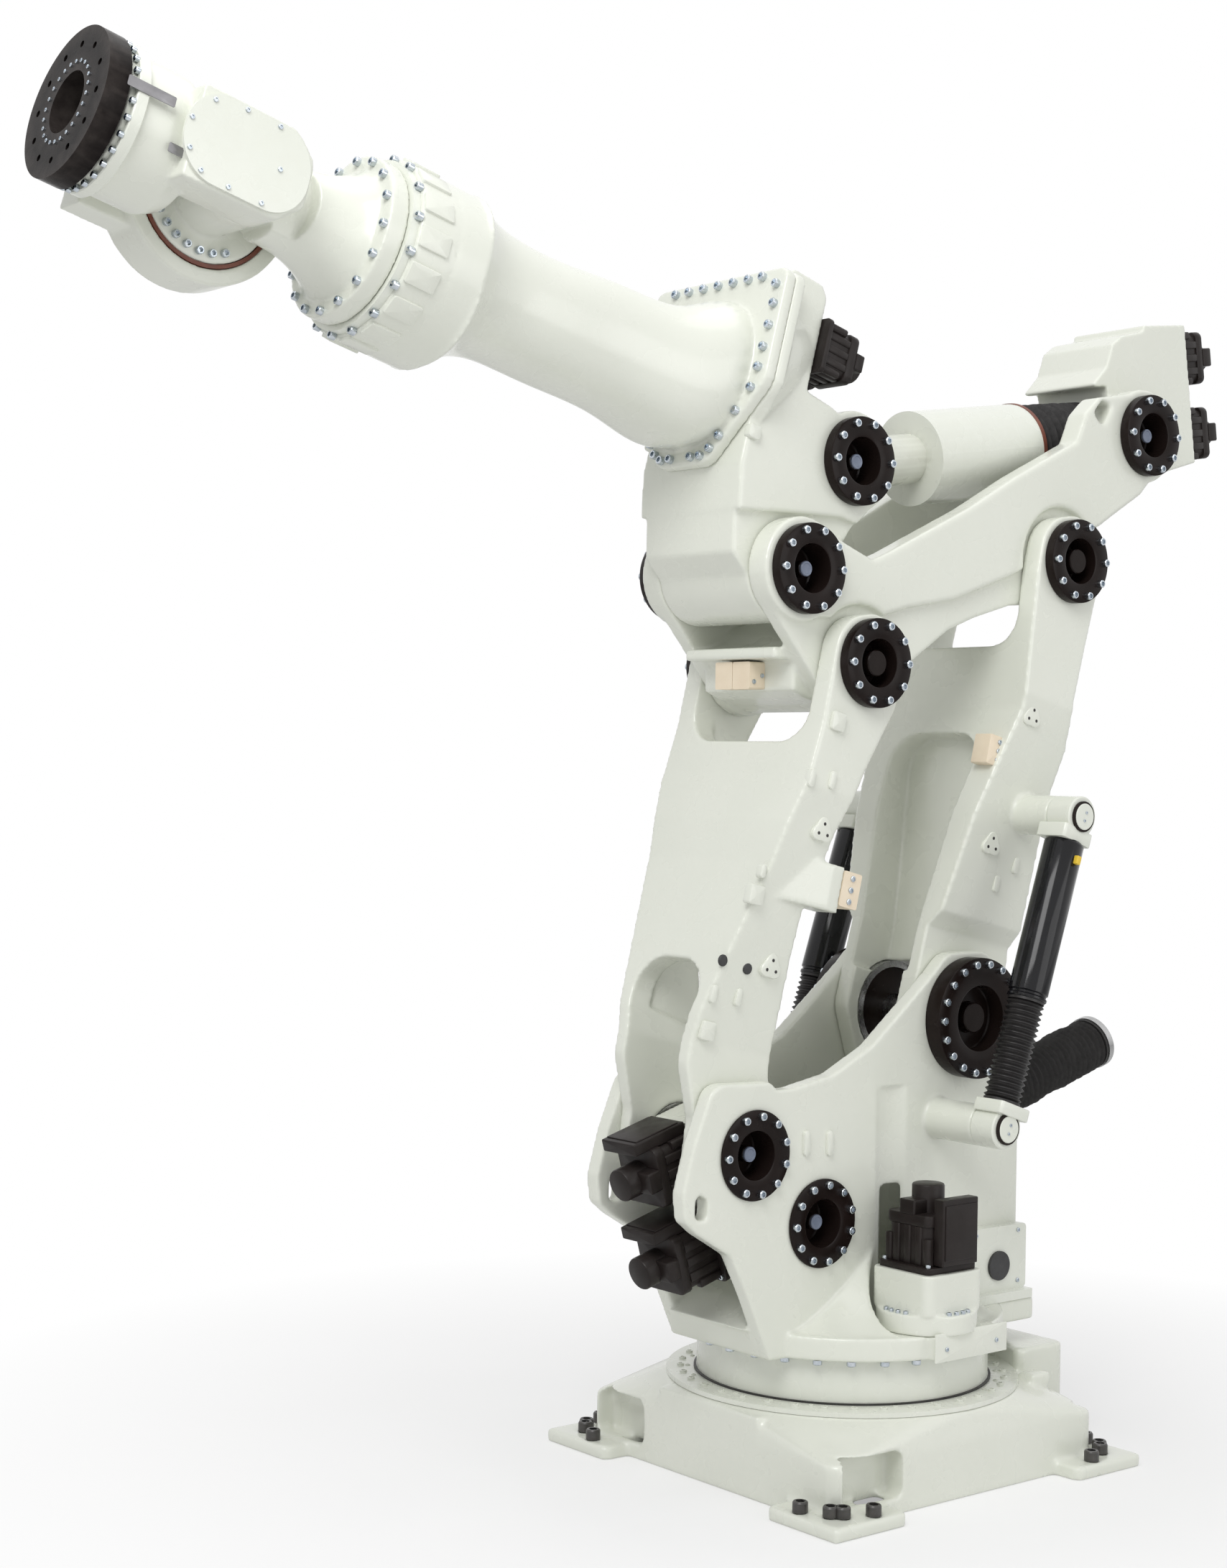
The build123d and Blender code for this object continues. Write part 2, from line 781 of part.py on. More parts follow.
# Front link: an H of two legs and a web, flared to straddle the beam
front_outline = [
    (-link_low_r, 0),
    (-70, -188),
    (60, -200),
    (210, -270),
    (361, -274),
    (502, -250),
    (818, -195),
    (935, -185),
    (1084, -160),
    (1232, -145),
    (1545, -145),
    (link_length + 152, 0),
    (1540, 140),
    (1346, 130),
    (1126, 52),
    (944, 5),
    (704, -20),
    (589, -8),
    (440, 16),
    (226, 50),
    (100, 120),
    (-60, 182),
]
leg_outside = [
    (link_low_half, -250),
    (link_low_half, 280),
    (link_top_half, 1050),
    (link_top_half, 1700),
    (-link_top_half, 1700),
    (-link_top_half, 1050),
    (-link_low_half, 280),
    (-link_low_half, -250),
]
front_forward = (sin(radians(link_up)), 0, -cos(radians(link_up)))
front_face = Plane(origin=(front_pivot[0], 0, front_pivot[1]), x_dir=(0, 1, 0), z_dir=front_forward)
rear_face = Plane(origin=(rear_pivot[0], 0, rear_pivot[1]), x_dir=(0, 1, 0), z_dir=front_forward)
web_turn = degrees(atan2(web_front[1][1] - web_front[0][1], web_front[1][0] - web_front[0][0]))
web_start = moved(front_pivot, link_up, web_front[0][0], -web_front[0][1] + web_plate)
web_normal = (sin(radians(link_up - web_turn)), 0, -cos(radians(link_up - web_turn)))
web_plane = Plane(origin=(web_start[0], 0, web_start[1]), x_dir=(0, 1, 0), z_dir=web_normal)
bracket_start = moved(front_pivot, link_up, bracket_low)
up_the_link = (cos(radians(link_up)), 0, sin(radians(link_up)))
bracket_plane = Plane(origin=(bracket_start[0], 0, bracket_start[1]), x_dir=front_forward, z_dir=up_the_link)

with BuildPart() as front_link:
    with BuildSketch(turned_plane(front_pivot, link_up, link_top_half)):
        with BuildLine():
            FilletPolyline(*front_outline, radius=link_rounding, close=True)
        make_face()
    extrude(amount=2 * link_top_half)
    with BuildSketch(front_face.offset(-link_reach)):
        with BuildLine():
            Polyline(*leg_outside, close=True)
        make_face()
    extrude(amount=2 * link_reach, mode=Mode.INTERSECT)
    with BuildSketch(bracket_plane):
        for side in (1, -1):
            with BuildLine():
                Polyline(*[(ahead, side * out) for ahead, out in bracket_section], close=True)
            make_face()
    extrude(amount=bracket_length)
    with BuildSketch(front_face.offset(-link_reach)):
        with BuildLine():
            FilletPolyline(
                (link_low_inner, -260),
                (link_low_inner, 280),
                (inner_at_window, window_top),
                (-inner_at_window, window_top),
                (-link_low_inner, 280),
                (-link_low_inner, -260),
                radius=[5, 40, window_r, window_r, 40, 5],
                close=True,
            )
        make_face()
    extrude(amount=2 * link_reach, mode=Mode.SUBTRACT)
    with BuildSketch(front_face.offset(-link_reach)):
        with BuildLine():
            FilletPolyline(
                (link_top_inner, 1750),
                (link_top_inner, web_top),
                (-link_top_inner, web_top),
                (-link_top_inner, 1750),
                radius=[5, window_r, window_r, 5],
                close=True,
            )
        make_face()
    extrude(amount=2 * link_reach, mode=Mode.SUBTRACT)
    with BuildSketch(web_plane):
        with BuildLine():
            FilletPolyline(
                (hollow_low, -150),
                (hollow_high, 560),
                (link_top_inner, 620),
                (link_top_inner, 800),
                (-link_top_inner, 800),
                (-link_top_inner, 620),
                (-hollow_high, 560),
                (-hollow_low, -150),
                radius=[5, 30, 30, 5, 5, 30, 30, 5],
                close=True,
            )
        make_face()
    extrude(amount=-link_reach, mode=Mode.SUBTRACT)
    with BuildSketch(turned_plane(front_pivot, link_up, link_top_half)):
        with Locations((link_length, 0)):
            Circle(pin_r + run)
        Circle(bearing_r + run)
    extrude(amount=2 * link_top_half, mode=Mode.SUBTRACT)
front_link.part.label = "front_link"
export_step(front_link.part, "parts/front_link.step")

with BuildPart() as front_link_bearings:
    with BuildSketch(side_plane(link_low_half)):
        with Locations(front_pivot):
            Circle(bearing_r)
            Circle(pin_r + run, mode=Mode.SUBTRACT)
    extrude(amount=link_low_wall)
    mirror(about=Plane.XZ)
front_link_bearings.part.label = "front_link_bearings"
export_step(front_link_bearings.part, "parts/front_link_bearings.step")

with BuildPart() as front_top_pins:
    for start, end, radius, kind in pin_steps(link_top_half, top_flange, beam_inner):
        with BuildSketch(side_plane(start)):
            with Locations(front_top):
                Circle(radius)
        extrude(amount=start - end, mode=kind)
    mirror(about=Plane.XZ)
front_top_pins.part.label = "front_top_pins"
export_step(front_top_pins.part, "parts/front_top_pins.step")

with BuildPart() as front_top_bolts:
    with BuildSketch(side_plane(link_top_half + top_flange + m16_head)):
        with Locations(front_top):
            with PolarLocations(pin_bolt_circle, pin_bolt_count):
                Circle(m16_head_r)
    extrude(amount=m16_head)
    with BuildSketch(side_plane(link_top_half + top_flange + m16_head)):
        with Locations(front_top):
            with PolarLocations(pin_bolt_circle, pin_bolt_count):
                RegularPolygon(m16_socket / 2, 6)
    extrude(amount=hex_depth, mode=Mode.SUBTRACT)
    mirror(about=Plane.XZ)
front_top_bolts.part.label = "front_top_bolts"
export_step(front_top_bolts.part, "parts/front_top_bolts.step")

# Rear link: the crank arms under its lower pivot are moved by the axis 2 screw
rear_outline = [
    (-30, -rear_low_r),
    (206, -190),
    (600, -168),
    (800, -130),
    (953, -100),
    (1119, -118),
    (1380, -145),
    (1545, -145),
    (link_length + 152, 0),
    (1545, 145),
    (1390, 140),
    (1212, 129),
    (1024, 121),
    (876, 144),
    (742, 134),
    (569, 152),
    (204, 198),
    (-30, rear_low_r),
    (-200, 60),
    (-200, -100),
]
rear_outside = [
    (link_low_half, -600),
    (link_low_half, 245),
    (rear_step_half, 300),
    (link_top_half, 1000),
    (link_top_half, 1700),
    (-link_top_half, 1700),
    (-link_top_half, 1000),
    (-rear_step_half, 300),
    (-link_low_half, 245),
    (-link_low_half, -600),
]
rear_front = moved(rear_pivot, link_up, 0, -rear_recess_at)
recess_plane = Plane(origin=(rear_front[0], 0, rear_front[1]), x_dir=(0, 1, 0), z_dir=front_forward)

with BuildPart() as rear_link:
    with BuildSketch(turned_plane(rear_pivot, link_up, link_top_half)):
        with BuildLine():
            FilletPolyline(*rear_outline, radius=rear_rounding, close=True)
        make_face()
    extrude(amount=2 * link_top_half)
    with BuildSketch(turned_plane(rear_pivot, nut2_crank_angle, link_top_half)):
        with BuildLine():
            Polyline(
                (0, rear_low_r - 10),
                (nut2_crank, crank_end_r),
                (nut2_crank, -crank_end_r),
                (0, -rear_low_r + 10),
                close=True,
            )
        make_face()
        with Locations((nut2_crank, 0)):
            Circle(crank_end_r)
    extrude(amount=2 * link_top_half)
    with BuildSketch(rear_face.offset(-link_reach)):
        with BuildLine():
            Polyline(*rear_outside, close=True)
        make_face()
    extrude(amount=2 * link_reach, mode=Mode.INTERSECT)
    with BuildSketch(rear_face.offset(-link_reach)):
        with BuildLine():
            FilletPolyline(
                (rear_low_inner, -620),
                (rear_low_inner, rear_web_low),
                (-rear_low_inner, rear_web_low),
                (-rear_low_inner, -620),
                radius=[5, 60, 60, 5],
                close=True,
            )
        make_face()
    extrude(amount=2 * link_reach, mode=Mode.SUBTRACT)
    with BuildSketch(rear_face.offset(-link_reach)):
        with BuildLine():
            FilletPolyline(
                (link_top_inner, 1750),
                (link_top_inner, rear_web_top),
                (-link_top_inner, rear_web_top),
                (-link_top_inner, 1750),
                radius=[5, window_r, window_r, 5],
                close=True,
            )
        make_face()
    extrude(amount=2 * link_reach, mode=Mode.SUBTRACT)
    with BuildSketch(recess_plane):
        with BuildLine():
            FilletPolyline(
                (recess_low, 100),
                (recess_low, 260),
                (recess_high, 870),
                (-recess_high, 870),
                (-recess_low, 260),
                (-recess_low, 100),
                radius=[5, 20, window_r, window_r, 20, 5],
                close=True,
            )
        make_face()
    extrude(amount=link_reach, mode=Mode.SUBTRACT)
    with BuildSketch(turned_plane(rear_pivot, link_up, link_top_half)):
        with Locations((link_length, 0)):
            Circle(pin_r + run)
        Circle(big_bearing_r + run)
    extrude(amount=2 * link_top_half, mode=Mode.SUBTRACT)
    with BuildSketch(side_plane(balancer_half - balancer_eye / 2 - seat)):
        with Locations(balancer_high):
            Circle(balancer_boss_r)
    extrude(amount=balancer_half - balancer_eye / 2 - seat - boss_foot)
    with BuildSketch(side_plane(-boss_foot)):
        with Locations(balancer_high):
            Circle(balancer_boss_r)
    extrude(amount=balancer_half - balancer_eye / 2 - seat - boss_foot)
rear_link.part.label = "rear_link"
export_step(rear_link.part, "parts/rear_link.step")

with BuildPart() as rear_link_bearings:
    with BuildSketch(side_plane(link_low_half)):
        with Locations(rear_pivot):
            Circle(big_bearing_r)
            Circle(big_pin_r + run, mode=Mode.SUBTRACT)
    extrude(amount=rear_low_wall)
    mirror(about=Plane.XZ)
rear_link_bearings.part.label = "rear_link_bearings"
export_step(rear_link_bearings.part, "parts/rear_link_bearings.step")

with BuildPart() as rear_top_pins:
    for start, end, radius, kind in pin_steps(link_top_half, top_flange, beam_inner):
        with BuildSketch(side_plane(start)):
            with Locations(rear_top):
                Circle(radius)
        extrude(amount=start - end, mode=kind)
    mirror(about=Plane.XZ)
rear_top_pins.part.label = "rear_top_pins"
export_step(rear_top_pins.part, "parts/rear_top_pins.step")

with BuildPart() as rear_top_bolts:
    with BuildSketch(side_plane(link_top_half + top_flange + m16_head)):
        with Locations(rear_top):
            with PolarLocations(pin_bolt_circle, pin_bolt_count):
                Circle(m16_head_r)
    extrude(amount=m16_head)
    with BuildSketch(side_plane(link_top_half + top_flange + m16_head)):
        with Locations(rear_top):
            with PolarLocations(pin_bolt_circle, pin_bolt_count):
                RegularPolygon(m16_socket / 2, 6)
    extrude(amount=hex_depth, mode=Mode.SUBTRACT)
    mirror(about=Plane.XZ)
rear_top_bolts.part.label = "rear_top_bolts"
export_step(rear_top_bolts.part, "parts/rear_top_bolts.step")

with BuildPart() as balancer_high_pins:
    with BuildSketch(side_plane(balancer_half + balancer_eye / 2 + seat)):
        with Locations(balancer_high):
            Circle(balancer_pin_r)
    extrude(amount=balancer_eye + 2 * seat)
    with BuildSketch(side_plane(balancer_half + balancer_eye / 2 + seat + washer)):
        with Locations(balancer_high):
            Circle(washer_r)
    extrude(amount=washer)
    mirror(about=Plane.XZ)
balancer_high_pins.part.label = "balancer_high_pins"
export_step(balancer_high_pins.part, "parts/balancer_high_pins.step")

with BuildPart() as cross_shaft:
    with BuildSketch(side_plane(rear_low_inner)):
        with Locations(rear_pivot):
            Circle(cross_shaft_r)
    extrude(amount=2 * rear_low_inner)
cross_shaft.part.label = "cross_shaft"
export_step(cross_shaft.part, "parts/cross_shaft.step")

with BuildPart() as stop_block:
    for outer in (block_outer, -block_inner):
        with BuildSketch(turned_plane(front_pivot, link_up, outer)):
            with Locations(block_centre):
                RectangleRounded(block_size[0], block_size[1], 6)
        extrude(amount=block_outer - block_inner)
stop_block.part.label = "stop_block"
export_step(stop_block.part, "parts/stop_block.step")


# Beam
beam_outline = [
    (440, 2812),
    (303, 2750),
    (188, 2708),
    (118, 2736),
    (-218, 2890),
    (-428, 3003),
    (-576, 3074),
    (-703, 3135),
    (-746, 3230),
    (-810, 3286),
    (-991, 3320),
    (-1170, 3160),
    (-1091, 3064),
    (-1020, 2993),
    (-894, 2921),
    (-825, 2866),
    (-740, 2660),
    (-600, 2620),
    (-437, 2608),
    (-273, 2561),
    (-160, 2518),
    (100, 2350),
    (236, 2290),
    (349, 2304),
    (577, 2566),
]
beam_pad = beam_outline[:15] + [
    (-825, 2880),
    (-640, 2800),
    (-420, 2700),
    (-160, 2610),
    (40, 2575),
    (236, 2520),
    (500, 2540),
]
beam_hole = [(-784, 3234), (-828, 3281), (-874, 3266), (-830, 3197)]

with BuildPart() as beam:
    with BuildSketch(side_plane(beam_lug_half)):
        with BuildLine():
            Polyline(*beam_outline, close=True)
        make_face()
        with Locations(elbow_pivot, drive3_pivot, front_top, rear_top):
            Circle(eye_r)
    extrude(amount=2 * beam_lug_half)
    for face in (beam_half, -beam_lug_half):
        with BuildSketch(side_plane(face)):
            with BuildLine():
                Polyline(*beam_pad, close=True)
            make_face()
            with Locations(elbow_pivot, drive3_pivot):
                Circle(eye_r)
            with Locations(front_top, rear_top):
                Circle(beam_relief_r, mode=Mode.SUBTRACT)
        extrude(amount=beam_half - beam_lug_half)
    with BuildSketch(side_plane(beam_inner)):
        with Locations((-400, 2800)):
            Rectangle(4000, 3000)
    extrude(amount=2 * beam_inner, mode=Mode.SUBTRACT)
    with BuildSketch(side_plane(beam_inner)):
        with Locations(front_top):
            Circle(cross_tube_r)
        with BuildLine():
            Polyline(*beam_floor, close=True)
        make_face()
        with BuildLine():
            Polyline(*beam_nose, close=True)
        make_face()
        with Locations(elbow_pivot):
            Circle(shell_r, mode=Mode.SUBTRACT)
    extrude(amount=2 * beam_inner)
    with BuildSketch(side_plane(beam_inner)):
        with Locations(elbow_pivot):
            Circle(shell_r + shell_wall)
            Circle(shell_r, mode=Mode.SUBTRACT)
        with BuildLine():
            Polyline(
                elbow_pivot,
                moved(elbow_pivot, shell_from, 2 * shell_r),
                moved(elbow_pivot, (shell_from + shell_to) / 2, 2 * shell_r),
                moved(elbow_pivot, shell_to, 2 * shell_r),
                close=True,
            )
        make_face(mode=Mode.INTERSECT)
    extrude(amount=2 * beam_inner)
    with BuildSketch(side_plane(beam_half)):
        with Locations(elbow_pivot, drive3_pivot):
            Circle(pin_r + run)
        with Locations(front_top, rear_top):
            Circle(bearing_r + run)
        with BuildLine():
            FilletPolyline(*beam_hole, radius=15, close=True)
        make_face()
    extrude(amount=2 * beam_half, mode=Mode.SUBTRACT)
    with BuildSketch(side_plane(beam_inner)):
        with Locations(front_top):
            Circle(cross_tube_r)
            Circle(bearing_r + run, mode=Mode.SUBTRACT)
    extrude(amount=2 * beam_inner)
beam.part.label = "beam"
export_step(beam.part, "parts/beam.step")

with BuildPart() as beam_lug_bearings:
    with BuildSketch(side_plane(beam_lug_half)):
        with Locations(front_top, rear_top):
            Circle(bearing_r)
            Circle(pin_r + run, mode=Mode.SUBTRACT)
    extrude(amount=beam_lug_half - beam_inner)
    mirror(about=Plane.XZ)
beam_lug_bearings.part.label = "beam_lug_bearings"
export_step(beam_lug_bearings.part, "parts/beam_lug_bearings.step")

with BuildPart() as beam_pins:
    for place, pin_end in ((elbow_pivot, beam_pin_end), (drive3_pivot, drive3_half)):
        for start, end, radius, kind in pin_steps(beam_half, beam_flange, pin_end):
            with BuildSketch(side_plane(start)):
                with Locations(place):
                    Circle(radius)
            extrude(amount=start - end, mode=kind)
    mirror(about=Plane.XZ)
beam_pins.part.label = "beam_pins"
export_step(beam_pins.part, "parts/beam_pins.step")

with BuildPart() as beam_pin_bolts:
    for place in (elbow_pivot, drive3_pivot):
        with BuildSketch(side_plane(beam_half + beam_flange + m16_head)):
            with Locations(place):
                with PolarLocations(pin_bolt_circle, pin_bolt_count):
                    Circle(m16_head_r)
        extrude(amount=m16_head)
        with BuildSketch(side_plane(beam_half + beam_flange + m16_head)):
            with Locations(place):
                with PolarLocations(pin_bolt_circle, pin_bolt_count):
                    RegularPolygon(m16_socket / 2, 6)
        extrude(amount=hex_depth, mode=Mode.SUBTRACT)
    mirror(about=Plane.XZ)
beam_pin_bolts.part.label = "beam_pin_bolts"
export_step(beam_pin_bolts.part, "parts/beam_pin_bolts.step")

with BuildPart() as beam_stop_blocks:
    with BuildSketch(Plane.YZ.offset(beam_nose[2][0] + seat)):
        with Locations((beam_block_at, beam_block_z), (-beam_block_at, beam_block_z)):
            RectangleRounded(beam_block[0], beam_block[1], 6)
    extrude(amount=beam_block[2])
beam_stop_blocks.part.label = "beam_stop_blocks"
export_step(beam_stop_blocks.part, "parts/beam_stop_blocks.step")


# Axis 2 drive: its own x axis runs along the screw towards the robot's front
drive2_outline = [
    (-118, -108),
    (60, -108),
    (120, -92),
    (motor2_face, -92),
    (motor2_face, motor2_offsets[1] + 103),
    (90, motor2_offsets[1] + 103),
    (30, motor2_offsets[1] + 20),
    (-20, 140),
    (-118, 108),
]

with BuildPart() as drive2_housing:
    with BuildSketch(turned_plane(drive2_pivot, screw2_angle, drive_half)):
        with BuildLine():
            FilletPolyline(*drive2_outline, radius=18, close=True)
        make_face()
    extrude(amount=2 * drive_half)
    with BuildSketch(side_plane(link_low_half)):
        with Locations(drive2_pivot):
            Circle(pin_flange_r)
    extrude(amount=2 * link_low_half)
    with BuildSketch(side_plane(link_low_half)):
        with Locations(drive2_pivot):
            Circle(pin_r + run)
    extrude(amount=link_low_wall + run, mode=Mode.SUBTRACT)
    with BuildSketch(side_plane(-link_low_inner + run)):
        with Locations(drive2_pivot):
            Circle(pin_r + run)
    extrude(amount=link_low_wall + run, mode=Mode.SUBTRACT)
drive2_housing.part.label = "drive2_housing"
export_step(drive2_housing.part, "parts/drive2_housing.step")

with BuildPart() as drive2_motors:
    for low, high, half in motor_steps:
        with BuildSketch(cross_plane(drive2_pivot, screw2_angle, motor2_face + low)):
            with Locations((0, motor2_offsets[0]), (0, motor2_offsets[1])):
                RectangleRounded(2 * half, 2 * half, motor_corner)
        extrude(amount=high - low)
drive2_motors.part.label = "drive2_motors"
export_step(drive2_motors.part, "parts/drive2_motors.step")

with BuildPart() as drive2_screw:
    with BuildSketch(cross_plane(drive2_pivot, screw2_angle, -tail_end)):
        Circle(tail_r)
    extrude(amount=tail_ring)
    with BuildSketch(cross_plane(drive2_pivot, screw2_angle, -tail_end)):
        Circle(screw_r)
    extrude(amount=tail_end - screw2_front)
drive2_screw.part.label = "drive2_screw"
export_step(drive2_screw.part, "parts/drive2_screw.step")

with BuildPart() as nut2_housing:
    with BuildSketch(cross_plane(drive2_pivot, screw2_angle, -screw2_length - nut_half)):
        Circle(nut_r)
    extrude(amount=2 * nut_half)
    with BuildSketch(side_plane(eye_half)):
        with Locations(nut2_pivot):
            Circle(nut_stub_r)
    extrude(amount=2 * eye_half)
    with BuildSketch(cross_plane(drive2_pivot, screw2_angle, -screw2_length - 2 * nut_half)):
        Circle(nut_bore_r)
    extrude(amount=4 * nut_half, mode=Mode.SUBTRACT)
nut2_housing.part.label = "nut2_housing"
export_step(nut2_housing.part, "parts/nut2_housing.step")

with BuildPart() as tail_bellows:
    with BuildSketch(cross_plane(drive2_pivot, screw2_angle, -tail_end + tail_ring + seat)):
        Circle(tail_r)
        Circle(tail_r - bellows_wall, mode=Mode.SUBTRACT)
    extrude(amount=tail_end - tail_ring - screw2_length - nut_half - 2 * seat)
tail_bellows.part.label = "tail_bellows"
export_step(tail_bellows.part, "parts/tail_bellows.step")


# Axis 3 drive: its own x axis runs along the screw towards the robot's front
drive3_outline = [
    (drive3_front, -130),
    (drive3_front, 175),
    (100, 175),
    (15, 235),
    (-27, 310),
    (-78, 335),
    (-185, 345),
    (-195, 366),
    (-motor3_face, 362),
    (-motor3_face, -100),
    (-150, -135),
]

with BuildPart() as drive3_housing:
    with BuildSketch(side_plane(trunnion_half)):
        with Locations(drive3_pivot):
            Circle(drive3_trunnion_r)
    extrude(amount=2 * trunnion_half)
    with BuildSketch(turned_plane(drive3_pivot, screw3_angle, drive3_half)):
        with Locations((drive3_front + drive3_trunnion_r, 0)):
            Rectangle(2 * drive3_trunnion_r, 4 * drive3_trunnion_r)
    extrude(amount=2 * drive3_half, mode=Mode.SUBTRACT)
    with BuildSketch(turned_plane(drive3_pivot, screw3_angle, drive3_half)):
        with BuildLine():
            FilletPolyline(*drive3_outline, radius=8, close=True)
        make_face()
    extrude(amount=2 * drive3_half)
    for face in (trunnion_half, -drive3_half + seat):
        with BuildSketch(side_plane(face)):
            with Locations(drive3_pivot):
                Circle(pin_r + run)
        extrude(amount=trunnion_half - drive3_half + seat, mode=Mode.SUBTRACT)
drive3_housing.part.label = "drive3_housing"
export_step(drive3_housing.part, "parts/drive3_housing.step")

with BuildPart() as drive3_motors:
    for low, high, half in motor_steps:
        with BuildSketch(cross_plane(drive3_pivot, screw3_angle, -motor3_face - low)):
            with Locations((0, motor3_offsets[0]), (0, motor3_offsets[1])):
                RectangleRounded(2 * half, 2 * half, motor_corner)
        extrude(amount=low - high)
drive3_motors.part.label = "drive3_motors"
export_step(drive3_motors.part, "parts/drive3_motors.step")

with BuildPart() as drive3_screw:
    with BuildSketch(cross_plane(drive3_pivot, screw3_angle, drive3_front)):
        Circle(screw_r)
    extrude(amount=screw3_end - drive3_front)
drive3_screw.part.label = "drive3_screw"
export_step(drive3_screw.part, "parts/drive3_screw.step")

with BuildPart() as drive3_bellows:
    with BuildSketch(cross_plane(drive3_pivot, screw3_angle, drive3_front + seat)):
        Circle(bellows_r)
        Circle(bellows_r - bellows_wall, mode=Mode.SUBTRACT)
    extrude(amount=rod3_back - drive3_front - 2 * seat)
drive3_bellows.part.label = "drive3_bellows"
export_step(drive3_bellows.part, "parts/drive3_bellows.step")

with BuildPart() as rod3_tube:
    with BuildSketch(cross_plane(drive3_pivot, screw3_angle, rod3_back + band)):
        Circle(rod3_r)
    extrude(amount=rod3_step - rod3_back - band)
    with BuildSketch(cross_plane(drive3_pivot, screw3_angle, rod3_step)):
        Circle(rod3_neck_r)
    extrude(amount=screw3_length - rod3_step)
    with BuildSketch(side_plane(eye_half)):
        with Locations(rod_pivot):
            Circle(rod3_eye_r)
    extrude(amount=2 * eye_half)
    with BuildSketch(cross_plane(drive3_pivot, screw3_angle, rod3_back)):
        Circle(rod3_bore_r)
    extrude(amount=screw3_length - rod3_eye_r - rod3_back, mode=Mode.SUBTRACT)
    with BuildSketch(side_plane(eye_half)):
        with Locations(rod_pivot):
            Circle(rod3_pin_bore_r)
    extrude(amount=2 * eye_half, mode=Mode.SUBTRACT)
rod3_tube.part.label = "rod3_tube"
export_step(rod3_tube.part, "parts/rod3_tube.step")

with BuildPart() as rod3_band:
    with BuildSketch(cross_plane(drive3_pivot, screw3_angle, rod3_back)):
        Circle(rod3_r + 2)
        Circle(rod3_bore_r, mode=Mode.SUBTRACT)
    extrude(amount=band)
rod3_band.part.label = "rod3_band"
export_step(rod3_band.part, "parts/rod3_band.step")


# Gas balancers, one each side
with BuildPart() as balancer_rods:
    with BuildSketch(side_plane(balancer_half + balancer_eye / 2)):
        with Locations(balancer_low):
            Circle(balancer_eye_r)
            Circle(balancer_pin_r + run, mode=Mode.SUBTRACT)
    extrude(amount=balancer_eye)
    with BuildSketch(cross_plane(balancer_low, balancer_angle, balancer_pin_r + 2)):
        with Locations((balancer_half, 0)):
            Circle(balancer_rod_r)
    extrude(amount=balancer_rod - balancer_pin_r)
    mirror(about=Plane.XZ)
balancer_rods.part.label = "balancer_rods"
export_step(balancer_rods.part, "parts/balancer_rods.step")

with BuildPart() as balancer_boots:
    with BuildSketch(cross_plane(balancer_low, balancer_angle, boot_start)):
        with Locations((balancer_half, 0)):
            Circle(boot_r)
            Circle(boot_r - boot_wall, mode=Mode.SUBTRACT)
    extrude(amount=tube_start - boot_start - seat)
    mirror(about=Plane.XZ)
balancer_boots.part.label = "balancer_boots"
export_step(balancer_boots.part, "parts/balancer_boots.step")

with BuildPart() as balancer_cylinders:
    with BuildSketch(side_plane(balancer_half + balancer_eye / 2)):
        with Locations(balancer_high):
            Circle(balancer_eye_r)
    extrude(amount=balancer_eye)
    with BuildSketch(cross_plane(balancer_low, balancer_angle, tube_start)):
        with Locations((balancer_half, 0)):
            Circle(tube_r)
    extrude(amount=balancer_length - tube_start - balancer_eye_r - side_gap)
    with BuildSketch(cross_plane(balancer_low, balancer_angle, balancer_length - balancer_eye_r - tube_end)):
        with Locations((balancer_half, 0)):
            Circle(tube_neck_r)
    extrude(amount=2 * tube_end)
    with BuildSketch(cross_plane(balancer_low, balancer_angle, tube_start)):
        with Locations((balancer_half, 0)):
            Circle(tube_bore_r)
    extrude(amount=balancer_length - tube_start - balancer_eye_r - tube_end, mode=Mode.SUBTRACT)
    with BuildSketch(side_plane(balancer_half + balancer_eye / 2)):
        with Locations(balancer_high):
            Circle(balancer_pin_r + run)
    extrude(amount=balancer_eye, mode=Mode.SUBTRACT)
    mirror(about=Plane.XZ)
balancer_cylinders.part.label = "balancer_cylinders"
export_step(balancer_cylinders.part, "parts/balancer_cylinders.step")


# Arm. Its plane sits square to the arm axis, at a distance from the wrist's bend axis
def arm_plane(along):
    return cross_plane(wrist, arm_tilt, along)


def about_elbow(points):
    return [(elbow_pivot[0] + x, elbow_pivot[1] + z) for x, z in points]


def ring_points(half, top, low):
    """Points of a section with its own half width, top and bottom, rounded by a power of 2.4."""
    points = []
    for k in range(section_points):
        a = 2 * pi * k / section_points
        c, s = cos(a), sin(a)
        scale = (abs(c) ** section_power + abs(s) ** section_power) ** (-1 / section_power)
        height = (top + low) / 2
        points.append((half * c * scale, (top - low) / 2 * s * scale + height))
    return points


